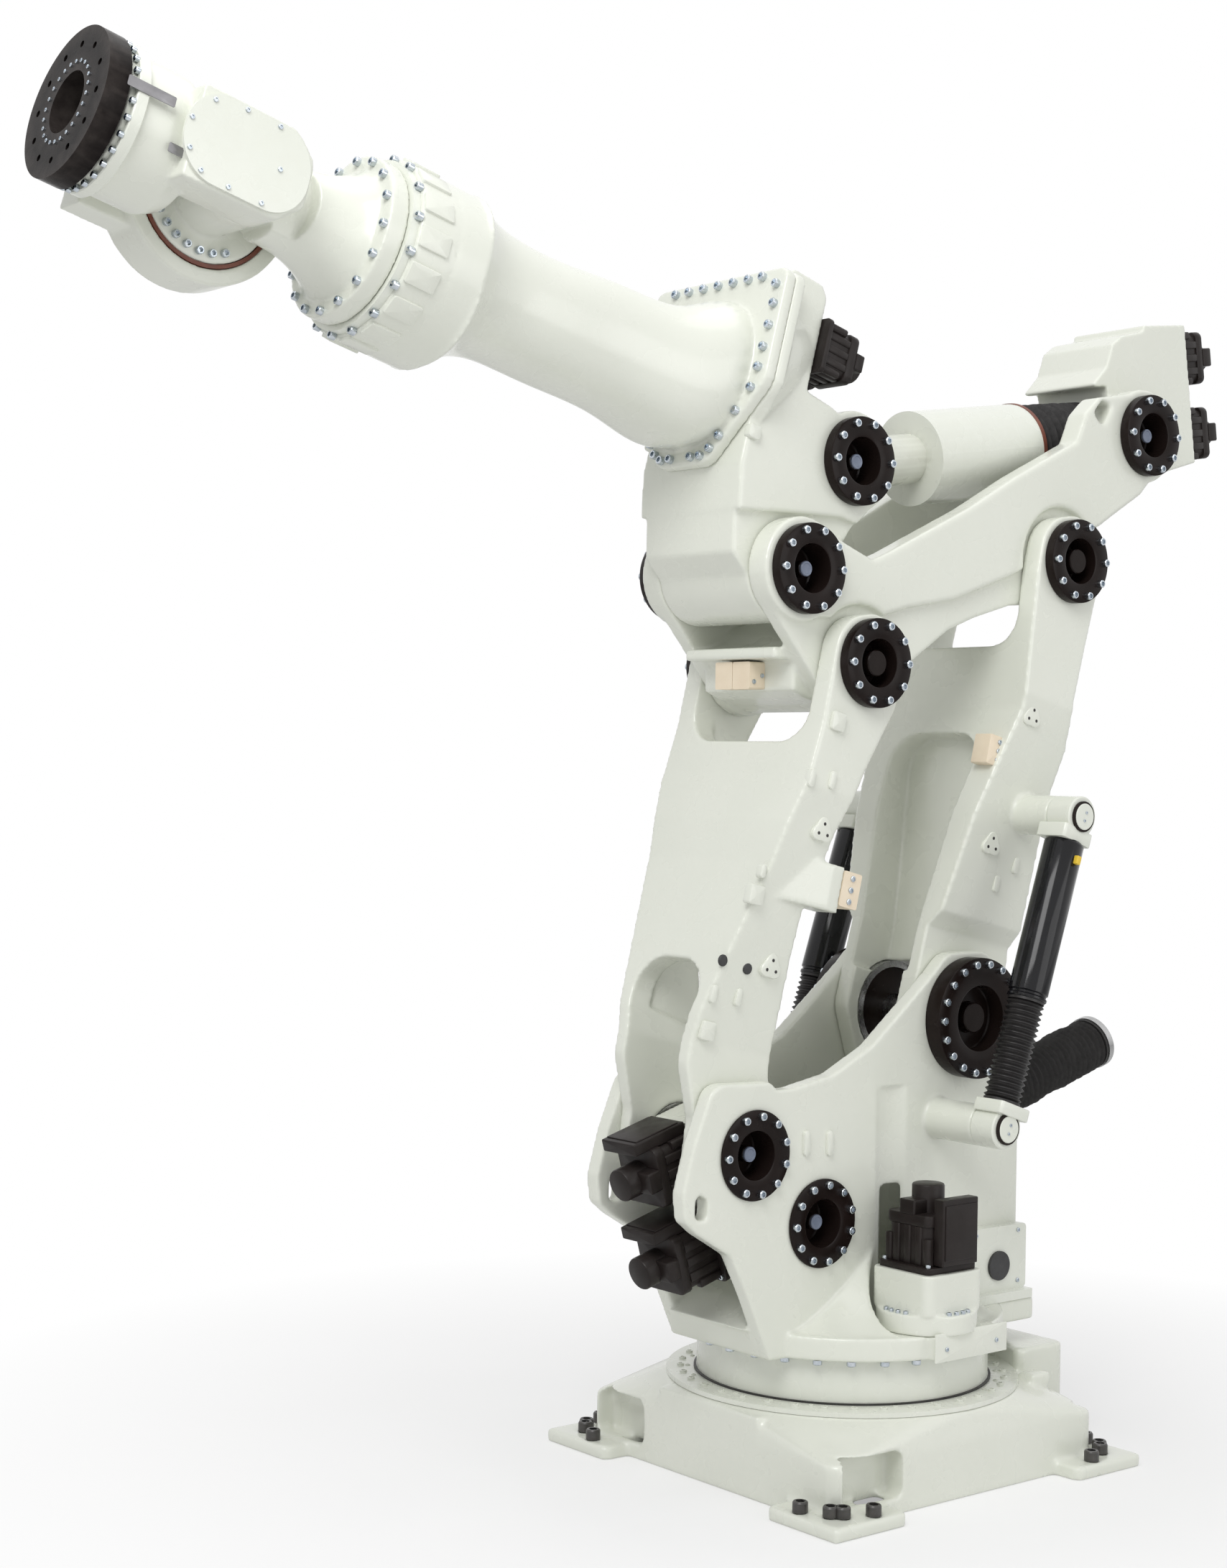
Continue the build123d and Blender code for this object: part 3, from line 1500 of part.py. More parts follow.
arm_flange_outline = [
    (arm_flange_half, arm_flange_top),
    (-arm_flange_half, arm_flange_top),
    (-arm_flange_half, 60),
    (-105, arm_flange_low),
    (105, arm_flange_low),
    (arm_flange_half, 60),
]
elbow_back = elbow_to_motors + seat
elbow_outline = [
    (52, 842),
    (0, 862),
    (-110, 830),
    moved((0, 0), arm_tilt, elbow_back, 798),
    moved((0, 0), arm_tilt, elbow_back, 515),
    (-151, 484),
    (-395, 360),
    (-333, 212),
    (-262, 139),
    (-232, 97),
    (-140, 30),
    (0, 0),
    (150, -20),
    (205, 40),
    (200, 290),
]
elbow_wide = elbow_outline[:8] + [(-262, 150), (-200, 165), (205, 160), (200, 290)]
fork_slot = [
    (-700, -400),
    (-700, fork_top),
    (-55, fork_top),
    (120, 430),
    (120, 175),
    (-110, 175),
    (-195, 60),
    (-195, -400),
]

with BuildPart() as elbow_casting:
    with BuildSketch(side_plane(trunnion_half)):
        with BuildLine():
            Polyline(*about_elbow(elbow_outline), close=True)
        make_face()
        with Locations(elbow_pivot):
            Circle(eye_r)
    extrude(amount=2 * trunnion_half)
    with BuildSketch(side_plane(elbow_half)):
        with BuildLine():
            Polyline(*about_elbow(elbow_wide), close=True)
        make_face()
        with Locations(rod_pivot):
            Circle(eye_r)
    extrude(amount=2 * elbow_half)
    with BuildSketch(arm_plane(arm_flange_at - seat)):
        with BuildLine():
            FilletPolyline(*arm_flange_outline, radius=[40, 40, 80, 60, 60, 80], close=True)
        make_face()
    extrude(amount=-arm_flange)
    with BuildSketch(arm_plane(arm_flange_at - arm_flange)):
        with BuildLine():
            Spline(*ring_points(arm_flange_half - 12, arm_flange_top - 10, arm_flange_low + 60), periodic=True)
        make_face()
    with BuildSketch(arm_plane(elbow_back_at)):
        with BuildLine():
            Spline(*ring_points(elbow_half, arm_flange_top - 30, 60), periodic=True)
        make_face()
    loft()
    with BuildSketch(side_plane(fork_half)):
        with BuildLine():
            FilletPolyline(*about_elbow(fork_slot), radius=30, close=True)
        make_face()
    extrude(amount=2 * fork_half, mode=Mode.SUBTRACT)
    for face in (trunnion_half, -beam_pin_end + seat):
        with BuildSketch(side_plane(face)):
            with Locations(elbow_pivot):
                Circle(bearing_r + run)
        extrude(amount=trunnion_half - beam_pin_end + seat, mode=Mode.SUBTRACT)
    with BuildSketch(side_plane(elbow_half)):
        with Locations(rod_pivot):
            Circle(pin_r + run)
    extrude(amount=2 * elbow_half, mode=Mode.SUBTRACT)
elbow_casting.part.label = "elbow_casting"
export_step(elbow_casting.part, "parts/elbow_casting.step")

with BuildPart() as elbow_bearings:
    with BuildSketch(side_plane(trunnion_half)):
        with Locations(elbow_pivot):
            Circle(bearing_r)
            Circle(pin_r + run, mode=Mode.SUBTRACT)
    extrude(amount=trunnion_half - beam_pin_end + seat)
    mirror(about=Plane.XZ)
elbow_bearings.part.label = "elbow_bearings"
export_step(elbow_bearings.part, "parts/elbow_bearings.step")

with BuildPart() as rod_pins:
    for start, end, radius, kind in pin_steps(elbow_half, elbow_flange, fork_half):
        with BuildSketch(side_plane(start)):
            with Locations(rod_pivot):
                Circle(radius)
        extrude(amount=start - end, mode=kind)
    mirror(about=Plane.XZ)
rod_pins.part.label = "rod_pins"
export_step(rod_pins.part, "parts/rod_pins.step")

with BuildPart() as rod_pin_bolts:
    with BuildSketch(side_plane(elbow_half + elbow_flange + m16_head)):
        with Locations(rod_pivot):
            with PolarLocations(pin_bolt_circle, pin_bolt_count):
                Circle(m16_head_r)
    extrude(amount=m16_head)
    with BuildSketch(side_plane(elbow_half + elbow_flange + m16_head)):
        with Locations(rod_pivot):
            with PolarLocations(pin_bolt_circle, pin_bolt_count):
                RegularPolygon(m16_socket / 2, 6)
    extrude(amount=hex_depth, mode=Mode.SUBTRACT)
    mirror(about=Plane.XZ)
rod_pin_bolts.part.label = "rod_pin_bolts"
export_step(rod_pin_bolts.part, "parts/rod_pin_bolts.step")

with BuildPart() as wrist_motors:
    for low, high, half in wrist_motor_steps:
        with BuildSketch(arm_plane(wrist_motor_at - low)):
            with Locations((0, wrist_motor_up), (wrist_motor_pitch, wrist_motor_up), (-wrist_motor_pitch, wrist_motor_up)):
                RectangleRounded(2 * half, 2 * half, motor_corner)
        extrude(amount=low - high)
wrist_motors.part.label = "wrist_motors"
export_step(wrist_motors.part, "parts/wrist_motors.step")

with BuildPart() as arm_tube:
    with BuildSketch(arm_plane(arm_flange_at)):
        with BuildLine():
            FilletPolyline(*arm_flange_outline, radius=[40, 40, 80, 60, 60, 80], close=True)
        make_face()
    extrude(amount=arm_flange)
    for at, half, top, low in arm_sections:
        with BuildSketch(arm_plane(at)):
            with BuildLine():
                Spline(*ring_points(half, top, low), periodic=True)
            make_face()
    loft()
    with BuildSketch(arm_plane(arm_sections[-1][0])):
        Circle(bell_r)
    extrude(amount=bell_face_at - arm_sections[-1][0])
    with BuildSketch(arm_plane(bell_groove_at)):
        Circle(bell_r + side_gap)
        Circle(bell_r - bell_groove, mode=Mode.SUBTRACT)
    extrude(amount=bell_groove, mode=Mode.SUBTRACT)
    with BuildSketch(arm_plane(arm_flange_at)):
        Circle(arm_bore_r)
    extrude(amount=bell_face_at - arm_flange_at, mode=Mode.SUBTRACT)
arm_tube.part.label = "arm_tube"
export_step(arm_tube.part, "parts/arm_tube.step")

with BuildPart() as arm_flange_bolts:
    with BuildSketch(arm_plane(arm_flange_at + arm_flange)):
        with Locations(*arm_bolt_places):
            Circle(m16_head_r)
        mirror(about=Plane.YZ)
    extrude(amount=m16_head)
arm_flange_bolts.part.label = "arm_flange_bolts"
export_step(arm_flange_bolts.part, "parts/arm_flange_bolts.step")

with BuildPart() as roll_ring:
    with BuildSketch(arm_plane(bell_face_at)):
        Circle(roll_ring_r)
        Circle(arm_bore_r + run, mode=Mode.SUBTRACT)
    extrude(amount=roll_face_at - bell_face_at - side_gap)
roll_ring.part.label = "roll_ring"
export_step(roll_ring.part, "parts/roll_ring.step")


# Wrist: the roll cone carries a disc square to the bend axis
def wrist_plane(y):
    return turned_plane(wrist, arm_tilt, y)


with BuildPart() as wrist_roll:
    with BuildSketch(arm_plane(bell_face_at - roll_spigot)):
        Circle(arm_bore_r - run)
    extrude(amount=roll_face_at - bell_face_at + roll_spigot)
    with BuildSketch(arm_plane(roll_face_at)):
        Circle(roll_flange_r)
    extrude(amount=roll_flange)
    for at, half, top, low in roll_sections:
        with BuildSketch(arm_plane(at)):
            with BuildLine():
                Spline(*ring_points(half, top, low), periodic=True)
            make_face()
    loft()
    with BuildSketch(wrist_plane(near_arm_low - side_gap)):
        Circle(roll_clear_r)
    extrude(amount=-roll_clear_r, mode=Mode.SUBTRACT)
    with BuildSketch(wrist_plane(bend_face + side_gap)):
        Circle(drum_ring_r + 2 * side_gap)
    extrude(amount=drum_ring_r, mode=Mode.SUBTRACT)
    with BuildSketch(wrist_plane(near_arm_low - side_gap)):
        Circle(roll_boss_r)
    extrude(amount=near_arm_low - side_gap - bend_face)
    with BuildSketch(wrist_plane(bend_face)):
        Circle(bend_r)
    extrude(amount=bend_disc)
    with BuildSketch(wrist_plane(near_arm_low + near_spigot)):
        Circle(near_spigot_r)
    extrude(amount=near_spigot + 2 * side_gap)
    with BuildSketch(wrist_plane(bend_face - bend_disc)):
        Circle(far_spigot_r)
    extrude(amount=far_spigot)
wrist_roll.part.label = "wrist_roll"
export_step(wrist_roll.part, "parts/wrist_roll.step")

with BuildPart() as wrist_bolts:
    with BuildSketch(arm_plane(roll_face_at + roll_flange)):
        with PolarLocations(roll_bolt_circle, roll_bolt_count):
            Circle(m16_head_r)
    extrude(amount=m16_head)
    with BuildSketch(wrist_plane(bend_face + m16_head)):
        with PolarLocations(bend_bolt_circle, bend_bolt_count, -bend_bolt_turn, 2 * bend_bolt_turn, endpoint=True):
            Circle(bend_bolt_r)
    extrude(amount=m16_head)
wrist_bolts.part.label = "wrist_bolts"
export_step(wrist_bolts.part, "parts/wrist_bolts.step")

with BuildPart() as bend_seal:
    with BuildSketch(wrist_plane(bend_face)):
        Circle(seal_r)
        Circle(bend_r + side_gap, mode=Mode.SUBTRACT)
    extrude(amount=bend_disc)
bend_seal.part.label = "bend_seal"
export_step(bend_seal.part, "parts/bend_seal.step")

near_arm_outline = [
    (-cover_tail - 10, 60),
    (-40, cover_half + 8),
    (hand_start + 60, cover_half + 8),
    (hand_start + 60, -cover_half - 8),
    (-40, -cover_half - 8),
    (-cover_tail - 10, -60),
]

with BuildPart() as bend_housing:
    with BuildSketch(wrist_plane(arm_side)):
        with BuildLine():
            FilletPolyline(*near_arm_outline, radius=[40, 60, 5, 5, 60, 40], close=True)
        make_face()
    extrude(amount=arm_side - arm_side_low)
    with BuildSketch(wrist_plane(bend_face - bend_disc - side_gap)):
        Circle(drum_ring_r)
    extrude(amount=bend_depth - bend_disc - side_gap)
    with BuildSketch(wrist_plane(bend_face)):
        Circle(drum_ring_r)
        Circle(seal_r + side_gap, mode=Mode.SUBTRACT)
    extrude(amount=bend_disc + 2 * side_gap)
    with BuildSketch(wrist_plane(bend_face - bend_disc - side_gap)):
        with Locations((hand_start, 0)):
            Rectangle(2 * hand_start - 40, 2 * hand_r - 20)
    extrude(amount=bend_depth - bend_disc - drum_edge)
    with BuildSketch(arm_plane(hand_start)):
        Circle(hand_r - hand_taper)
    with BuildSketch(arm_plane(hand_start + 2 * hand_taper)):
        Circle(hand_r)
    loft()
    with BuildSketch(arm_plane(hand_start + 2 * hand_taper)):
        Circle(hand_r)
    extrude(amount=hand_end - hand_start - 2 * hand_taper)
    with BuildSketch(wrist_plane(arm_side_low)):
        Circle(hand_relief_r)
    extrude(amount=arm_side_low - bend_face + bend_disc + side_gap, mode=Mode.SUBTRACT)
    with BuildSketch(wrist_plane(bend_face)):
        Circle(drum_ring_r)
        Circle(seal_r + side_gap, mode=Mode.SUBTRACT)
    extrude(amount=bend_disc + 2 * side_gap)
    with BuildSketch(wrist_plane(arm_side_low)):
        Circle(near_spigot_r + run)
    extrude(amount=-near_spigot - side_gap, mode=Mode.SUBTRACT)
    with BuildSketch(wrist_plane(bend_face - bend_disc - side_gap)):
        Circle(far_spigot_r + run)
    extrude(amount=far_spigot, mode=Mode.SUBTRACT)
    with BuildSketch(arm_plane(hand_end)):
        Circle(tool_spigot_r + run)
    extrude(amount=-tool_spigot - side_gap, mode=Mode.SUBTRACT)
bend_housing.part.label = "bend_housing"
export_step(bend_housing.part, "parts/bend_housing.step")

with BuildPart() as bend_cover:
    with BuildSketch(wrist_plane(arm_side + cover)):
        with BuildLine():
            FilletPolyline(
                (-cover_tail, cover_half),
                (cover_nose - 60, cover_half),
                (cover_nose - 60, -cover_half),
                (-cover_tail, -cover_half),
                radius=cover_corner,
                close=True,
            )
        make_face()
    extrude(amount=cover)
bend_cover.part.label = "bend_cover"
export_step(bend_cover.part, "parts/bend_cover.step")

with BuildPart() as tool_flange:
    with BuildSketch(arm_plane(hand_end - tool_spigot)):
        Circle(tool_spigot_r)
    extrude(amount=tool_spigot + tool_gap)
    with BuildSketch(arm_plane(hand_end + tool_gap)):
        Circle(tool_r)
    extrude(amount=tool_flange_t)
    with BuildSketch(arm_plane(hand_end - tool_spigot)):
        Circle(tool_bore_r)
    extrude(amount=tool_spigot + tool_gap + tool_flange_t, mode=Mode.SUBTRACT)
    with BuildSketch(arm_plane(hand_end + tool_gap + tool_flange_t)):
        with PolarLocations(tool_pcd / 2, tool_holes):
            Circle(tool_hole_r)
    extrude(amount=-tool_hole_depth, mode=Mode.SUBTRACT)
tool_flange.part.label = "tool_flange"
export_step(tool_flange.part, "parts/tool_flange.step")
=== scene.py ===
import json
from math import atan2, cos, degrees, hypot, pi, radians, sin

import bmesh
import bpy
import numpy as np
from mathutils import Matrix, Vector


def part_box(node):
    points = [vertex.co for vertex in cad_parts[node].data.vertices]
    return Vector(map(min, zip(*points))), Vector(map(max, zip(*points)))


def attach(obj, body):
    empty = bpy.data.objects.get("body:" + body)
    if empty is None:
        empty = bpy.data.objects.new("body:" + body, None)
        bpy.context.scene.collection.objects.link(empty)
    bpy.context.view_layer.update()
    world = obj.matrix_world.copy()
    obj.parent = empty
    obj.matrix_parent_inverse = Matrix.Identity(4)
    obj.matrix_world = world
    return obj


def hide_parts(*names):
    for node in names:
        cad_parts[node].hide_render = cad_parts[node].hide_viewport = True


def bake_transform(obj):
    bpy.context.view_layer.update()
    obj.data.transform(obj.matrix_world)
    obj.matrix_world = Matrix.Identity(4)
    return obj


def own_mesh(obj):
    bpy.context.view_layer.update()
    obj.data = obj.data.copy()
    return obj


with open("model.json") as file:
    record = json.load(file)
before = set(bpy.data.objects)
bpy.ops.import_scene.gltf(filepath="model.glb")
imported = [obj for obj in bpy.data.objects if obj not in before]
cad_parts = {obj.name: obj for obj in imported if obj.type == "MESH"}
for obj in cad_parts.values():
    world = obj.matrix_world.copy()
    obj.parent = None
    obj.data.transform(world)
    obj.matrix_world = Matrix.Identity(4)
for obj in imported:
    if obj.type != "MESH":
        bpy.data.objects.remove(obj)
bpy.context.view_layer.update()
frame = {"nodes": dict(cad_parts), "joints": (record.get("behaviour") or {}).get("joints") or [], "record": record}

nodes = frame["nodes"]
joints = {j["name"]: j for j in frame["joints"]}
scene = bpy.context.scene
MM = 0.001


# Places. A point in the side view is (x, z) in millimetres, angles are in degrees above +X
def pivot(joint):
    """Place of a joint in the side view."""
    x, _, z = joints[joint]["pos_m"]
    return (x / MM, z / MM)


def moved(point, angle, along, across=0):
    """The point moved along a line at the angle, and across it to its left."""
    c, s = cos(radians(angle)), sin(radians(angle))
    return (point[0] + along * c - across * s, point[1] + along * s + across * c)


def slope(a, b):
    """Angle of the line from one side view point to another."""
    return degrees(atan2(b[1] - a[1], b[0] - a[0]))


def slide_angle(joint):
    """Angle of a joint's axis in the side view."""
    x, _, z = joints[joint]["axis"]
    return degrees(atan2(z, x))


FRONT_LOW, REAR_LOW, REAR_TOP = pivot("front_link_pivot"), pivot("jt2"), pivot("beam_pivot")
ELBOW, WRIST = pivot("jt3"), pivot("jt5")
DRIVE2, DRIVE3 = pivot("drive2_pivot"), pivot("drive3_pivot")
BALANCER_LOW, BALANCER_HIGH = pivot("balancer_low_pivot"), pivot("balancer_high_pivot")
LEAN = slope(REAR_LOW, REAR_TOP)
LINK = hypot(REAR_TOP[0] - REAR_LOW[0], REAR_TOP[1] - REAR_LOW[1])
FRONT_TOP = moved(FRONT_LOW, LEAN, LINK)
ROD_ANGLE, ROD_REACH = 127, 415
ROD = moved(ELBOW, ROD_ANGLE, ROD_REACH)
ARM = slide_angle("jt4")
SCREW2 = slide_angle("nut2_travel") - 180
SCREW3 = slide_angle("rod3_travel")
BALANCER = slope(BALANCER_LOW, BALANCER_HIGH)
BALANCER_LENGTH = hypot(BALANCER_HIGH[0] - BALANCER_LOW[0], BALANCER_HIGH[1] - BALANCER_LOW[1])
# Distances from the middle plane to the outer faces that the pivot caps sit on, and each cap's rise
PLATE_Y, LINK_Y, BEAM_Y, ROD_Y = 217, 320, 275, 218
PLATE_CAP, REAR_CAP, LINK_CAP, BEAM_CAP, ROD_CAP = 10, 58, 33.5, 34, 35
BALANCER_Y, PIN_END_Y = 450, 507
DECK_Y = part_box("turret_casting")[1].y / MM
# Heights of the base's feet, its top and its bearing ring, and of the flange over the drum
FOOT_Z, BASE_TOP, RING_Z, DRUM_Z = 40, 248, 262, 393
BASE_HALF = 548
# Gear housing of axis 1: its middle, the ledge above its round foot and the motor's seat
PEDESTAL_X, PEDESTAL_Y, PEDESTAL_Z, MOTOR1_Z = 20, 372, 520, 637
# Stations along the arm, from the bend axis
MOTOR_FACE, ARM_FLANGE, BELL_RIM, BELL_FACE, ROLL_FACE, HAND_FACE, TOOL_FACE = (
    -1811, -1583, -463, -414, -334, 384, 468)
# Legs of the two links: where they start to lean out, and their half width below that
FRONT_LEG, REAR_LEG, LEG_TOP = (280, 164), (300, 210), 1050
NEAR, FAR, UP, DOWN = (0, 1, 0), (0, -1, 0), (0, 0, 1), (0, 0, -1)


def tilt(angle):
    """Direction in the side view that rises by the angle."""
    return (cos(radians(angle)), 0, sin(radians(angle)))


def place(point, y, axis, side=NEAR):
    """Placing matrix: z along axis, x nearest to side, origin at a side view point and y."""
    z = Vector(axis).normalized()
    x = Vector(side)
    x = (x - z * x.dot(z)).normalized()
    m = Matrix((x, z.cross(x), z)).transposed().to_4x4()
    m.translation = Vector((point[0], y, point[1])) * MM
    return m


def faces_of(point, y):
    """Placing matrices on the near and the far face about a pivot, z outward and x forward."""
    return [place(point, y, NEAR, (1, 0, 0)), place(point, -y, FAR, (1, 0, 0))]


def upright(z):
    """Placing matrix on the upright axis of the base at a height."""
    return place((0, z), 0, UP, (1, 0, 0))


def arm_at(along, y=0, across=0, turn=0):
    """Placing matrix on the arm: z along it, back from it at a turn of 180, x to the left."""
    return place(moved(WRIST, ARM, along, across), y, tilt(ARM + turn))


def arm_side(along, across, y, out=1):
    """Placing matrix on the arm's side face, z outward and x along the arm."""
    return place(moved(WRIST, ARM, along, across), y, (0, out, 0), tilt(ARM))


def raised(m, height):
    """The placing matrix moved along its own z."""
    return m @ Matrix.Translation((0, 0, height * MM))


def link_side(base, along, ahead, y):
    """Placing matrix on a link's side, along it and ahead of its line: z outward, x up it."""
    return place(moved(base, LEAN, along, -ahead), y, (0, 1 if y > 0 else -1, 0), tilt(LEAN))


# Meshes are pairs of points and lists of face arrays, in millimetres until they are placed
def skin(rows):
    """Skin over rows of points: row i joins row i + 1, and each row closes on itself."""
    m, n = rows.shape[:2]
    k = np.arange(m * n).reshape(m, n)
    turned_k = np.roll(k, -1, 1)
    quads = np.stack([k[:-1], turned_k[:-1], turned_k[1:], k[1:]], -1)
    return rows.reshape(-1, 3), [quads.reshape(-1, 4)]


def capped(rows):
    """The rows with each end drawn in to its middle point, so that the skin over them is closed."""
    ends = [np.repeat(rows[i].mean(0)[None, None], rows.shape[1], 1) for i in (0, -1)]
    return np.concatenate([ends[0], rows, ends[1]])


def turned(profile, count=64):
    """Turned form: profile point (r, h) makes the ring (r cos a, r sin a, h), a from 0 to 2 pi."""
    r, h = np.array(profile, float).T
    a = np.linspace(0, 2 * pi, count, endpoint=False)
    return skin(np.stack([np.outer(r, np.cos(a)), np.outer(r, np.sin(a)),
                          np.repeat(h[:, None], count, 1)], -1))


def rounded(sx, sy, r, steps=6):
    """Rounded rectangle: the quarter arcs r (cos a, sin a) about its four corner centres."""
    k = np.arange(4 * steps)
    q = k // steps
    a = (q + (k % steps) / (steps - 1)) * pi / 2
    x = np.array([1, -1, -1, 1])[q] * (sx / 2 - r) + r * np.cos(a)
    y = np.array([1, 1, -1, -1])[q] * (sy / 2 - r) + r * np.sin(a)
    return np.stack([x, y], -1)


def level(outline, z):
    """The flat outline lifted to height z."""
    return np.column_stack([outline, np.full(len(outline), float(z))])


def block(sx, sy, z0, z1, r=6, edge=3, at=(0, 0), steps=6):
    """Rounded block from z0 to z1: its outline shrinks by edge (1 - sin a) towards each end."""
    drop = [(edge, 0), (0.3 * edge, 0.3 * edge), (0, edge)]
    rows = [level(rounded(sx - 2 * g, sy - 2 * g, max(r - g, 0.4), steps), z0 + d) for g, d in drop]
    rows += [level(rounded(sx - 2 * g, sy - 2 * g, max(r - g, 0.4), steps), z1 - d)
             for g, d in drop[::-1]]
    rows = np.array(rows) + np.array([at[0], at[1], 0])
    return skin(capped(rows))


def slab(outline, y0, y1):
    """Plate between two y values over a side view outline of (x, z) points."""
    o = np.array(outline, float)
    ends = [np.stack([o[:, 0], np.full(len(o), float(y)), o[:, 1]], -1) for y in (y0, y1)]
    n = len(o)
    k = np.arange(n)
    sides = np.stack([k, np.roll(k, -1), np.roll(k, -1) + n, k + n], -1)
    return np.concatenate(ends), [sides, k[None, ::-1], (k + n)[None]]


def put(mesh, m=None):
    """The mesh in metres, carried by a placing matrix."""
    pts = mesh[0] * MM
    if m is not None:
        a = np.array(m)
        pts = pts @ a[:3, :3].T + a[:3, 3]
    return pts, mesh[1]


def join(meshes):
    """One mesh of several."""
    pts, faces, base = [], [], 0
    for p, groups in meshes:
        pts.append(p)
        faces += [g + base for g in groups]
        base += len(p)
    return np.concatenate(pts), faces


def shift(mesh, x, y, z=0):
    """The mesh moved by x, y and z."""
    return mesh[0] + np.array([x, y, z]), mesh[1]


def ring(r, count, start=0.0, span=360.0, both_ends=False):
    """Places on a circle, r (cos a, sin a), in even steps over the span."""
    a = np.radians(start + np.linspace(0, span, count, endpoint=both_ends))
    return list(zip(r * np.cos(a), r * np.sin(a)))


def make_mesh(name, mesh):
    """Blender mesh with doubles merged and faces turned outward."""
    me = bpy.data.meshes.new(name)
    me.from_pydata(mesh[0].tolist(), [], sum([g.tolist() for g in mesh[1]], []))
    b = bmesh.new()
    b.from_mesh(me)
    bmesh.ops.remove_doubles(b, verts=b.verts, dist=1e-6)
    bmesh.ops.recalc_face_normals(b, faces=b.faces)
    b.to_mesh(me)
    b.free()
    return me


def show(name, me, body, material, replaced):
    """Puts a mesh on its body with its finish and the nodes that it replaces."""
    o = bpy.data.objects.new(name, me)
    scene.collection.objects.link(o)
    me.materials.append(material)
    if body:
        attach(o, body)
    if replaced:
        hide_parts(*replaced)
    return o


def piece(name, meshes, body, material, replaced=(), angle=32):
    """One object of placed meshes that rides on a body, smooth up to the angle."""
    me = make_mesh(name, join(meshes))
    me.shade_smooth()
    me.set_sharp_from_angle(angle=radians(angle))
    return show(name, me, body, material, replaced)


# Effects that several finishes share, one shader node group each
def effect(name, inputs, output):
    """Empty shader group: inputs are (name, kind, value), the output is (name, kind)."""
    t = bpy.data.node_groups.new(name, "ShaderNodeTree")
    for label, kind, value in inputs:
        s = t.interface.new_socket(label, in_out="INPUT", socket_type="NodeSocket" + kind)
        if value is not None:
            s.default_value = value
    t.interface.new_socket(output[0], in_out="OUTPUT", socket_type="NodeSocket" + output[1])
    return t, t.nodes.new("NodeGroupInput").outputs, t.nodes.new("NodeGroupOutput").inputs


def wire(t, kind, links=(), values=(), **settings):
    """Adds a node, sets it up and feeds its inputs."""
    n = t.nodes.new("ShaderNode" + kind)
    for k, v in settings.items():
        setattr(n, k, v)
    for k, v in values:
        n.inputs[k].default_value = v
    for k, v in links:
        t.links.new(v, n.inputs[k])
    return n


def cloudy_tint():
    """Colour that drifts between two tints over a soft noise."""
    t, i, o = effect("cloudy_tint", [("Vector", "Vector", None), ("Scale", "Float", 4.0),
                                     ("Deep", "Color", (0, 0, 0, 1)),
                                     ("Light", "Color", (1, 1, 1, 1))], ("Color", "Color"))
    n = wire(t, "TexNoise", [("Vector", i["Vector"]), ("Scale", i["Scale"])],
             [("Detail", 4), ("Roughness", 0.6)])
    m = wire(t, "MapRange", [("Value", n.outputs["Fac"])], [("From Min", 0.3), ("From Max", 0.7)])
    x = wire(t, "Mix", [("Factor", m.outputs["Result"]), (6, i["Deep"]), (7, i["Light"])],
             data_type="RGBA")
    t.links.new(x.outputs[2], o["Color"])
    return t


def uneven_gloss():
    """Roughness that wanders between two values."""
    t, i, o = effect("uneven_gloss", [("Vector", "Vector", None), ("Scale", "Float", 12.0),
                                      ("Glossy", "Float", 0.2), ("Dull", "Float", 0.4)],
                     ("Roughness", "Float"))
    n = wire(t, "TexNoise", [("Vector", i["Vector"]), ("Scale", i["Scale"])], [("Detail", 3)])
    m = wire(t, "MapRange",
             [("Value", n.outputs["Fac"]), ("To Min", i["Glossy"]), ("To Max", i["Dull"])],
             [("From Min", 0.3), ("From Max", 0.7)])
    t.links.new(m.outputs["Result"], o["Roughness"])
    return t


def edge_wear_and_highlight():
    """Lets an edge colour show where the form is sharply convex and a soft noise allows it: partly wear, partly a
    painted highlight along the edges.
    """
    t, i, o = effect("edge_wear_and_highlight", [("Vector", "Vector", None), ("Color", "Color", (1, 1, 1, 1)),
                                  ("Edge", "Color", (1, 1, 1, 1)), ("Amount", "Float", 0.5)],
                     ("Color", "Color"))
    g = wire(t, "NewGeometry")
    m = wire(t, "MapRange", [("Value", g.outputs["Pointiness"])],
             [("From Min", 0.54), ("From Max", 0.64)])
    n = wire(t, "TexNoise", [("Vector", i["Vector"])], [("Scale", 35), ("Detail", 3)])
    a = wire(t, "Math", [(0, m.outputs["Result"]), (1, n.outputs["Fac"])], operation="MULTIPLY")
    b = wire(t, "Math", [(0, a.outputs["Value"]), (1, i["Amount"])], operation="MULTIPLY")
    x = wire(t, "Mix", [("Factor", b.outputs["Value"]), (6, i["Color"]), (7, i["Edge"])],
             data_type="RGBA")
    t.links.new(x.outputs[2], o["Color"])
    return t


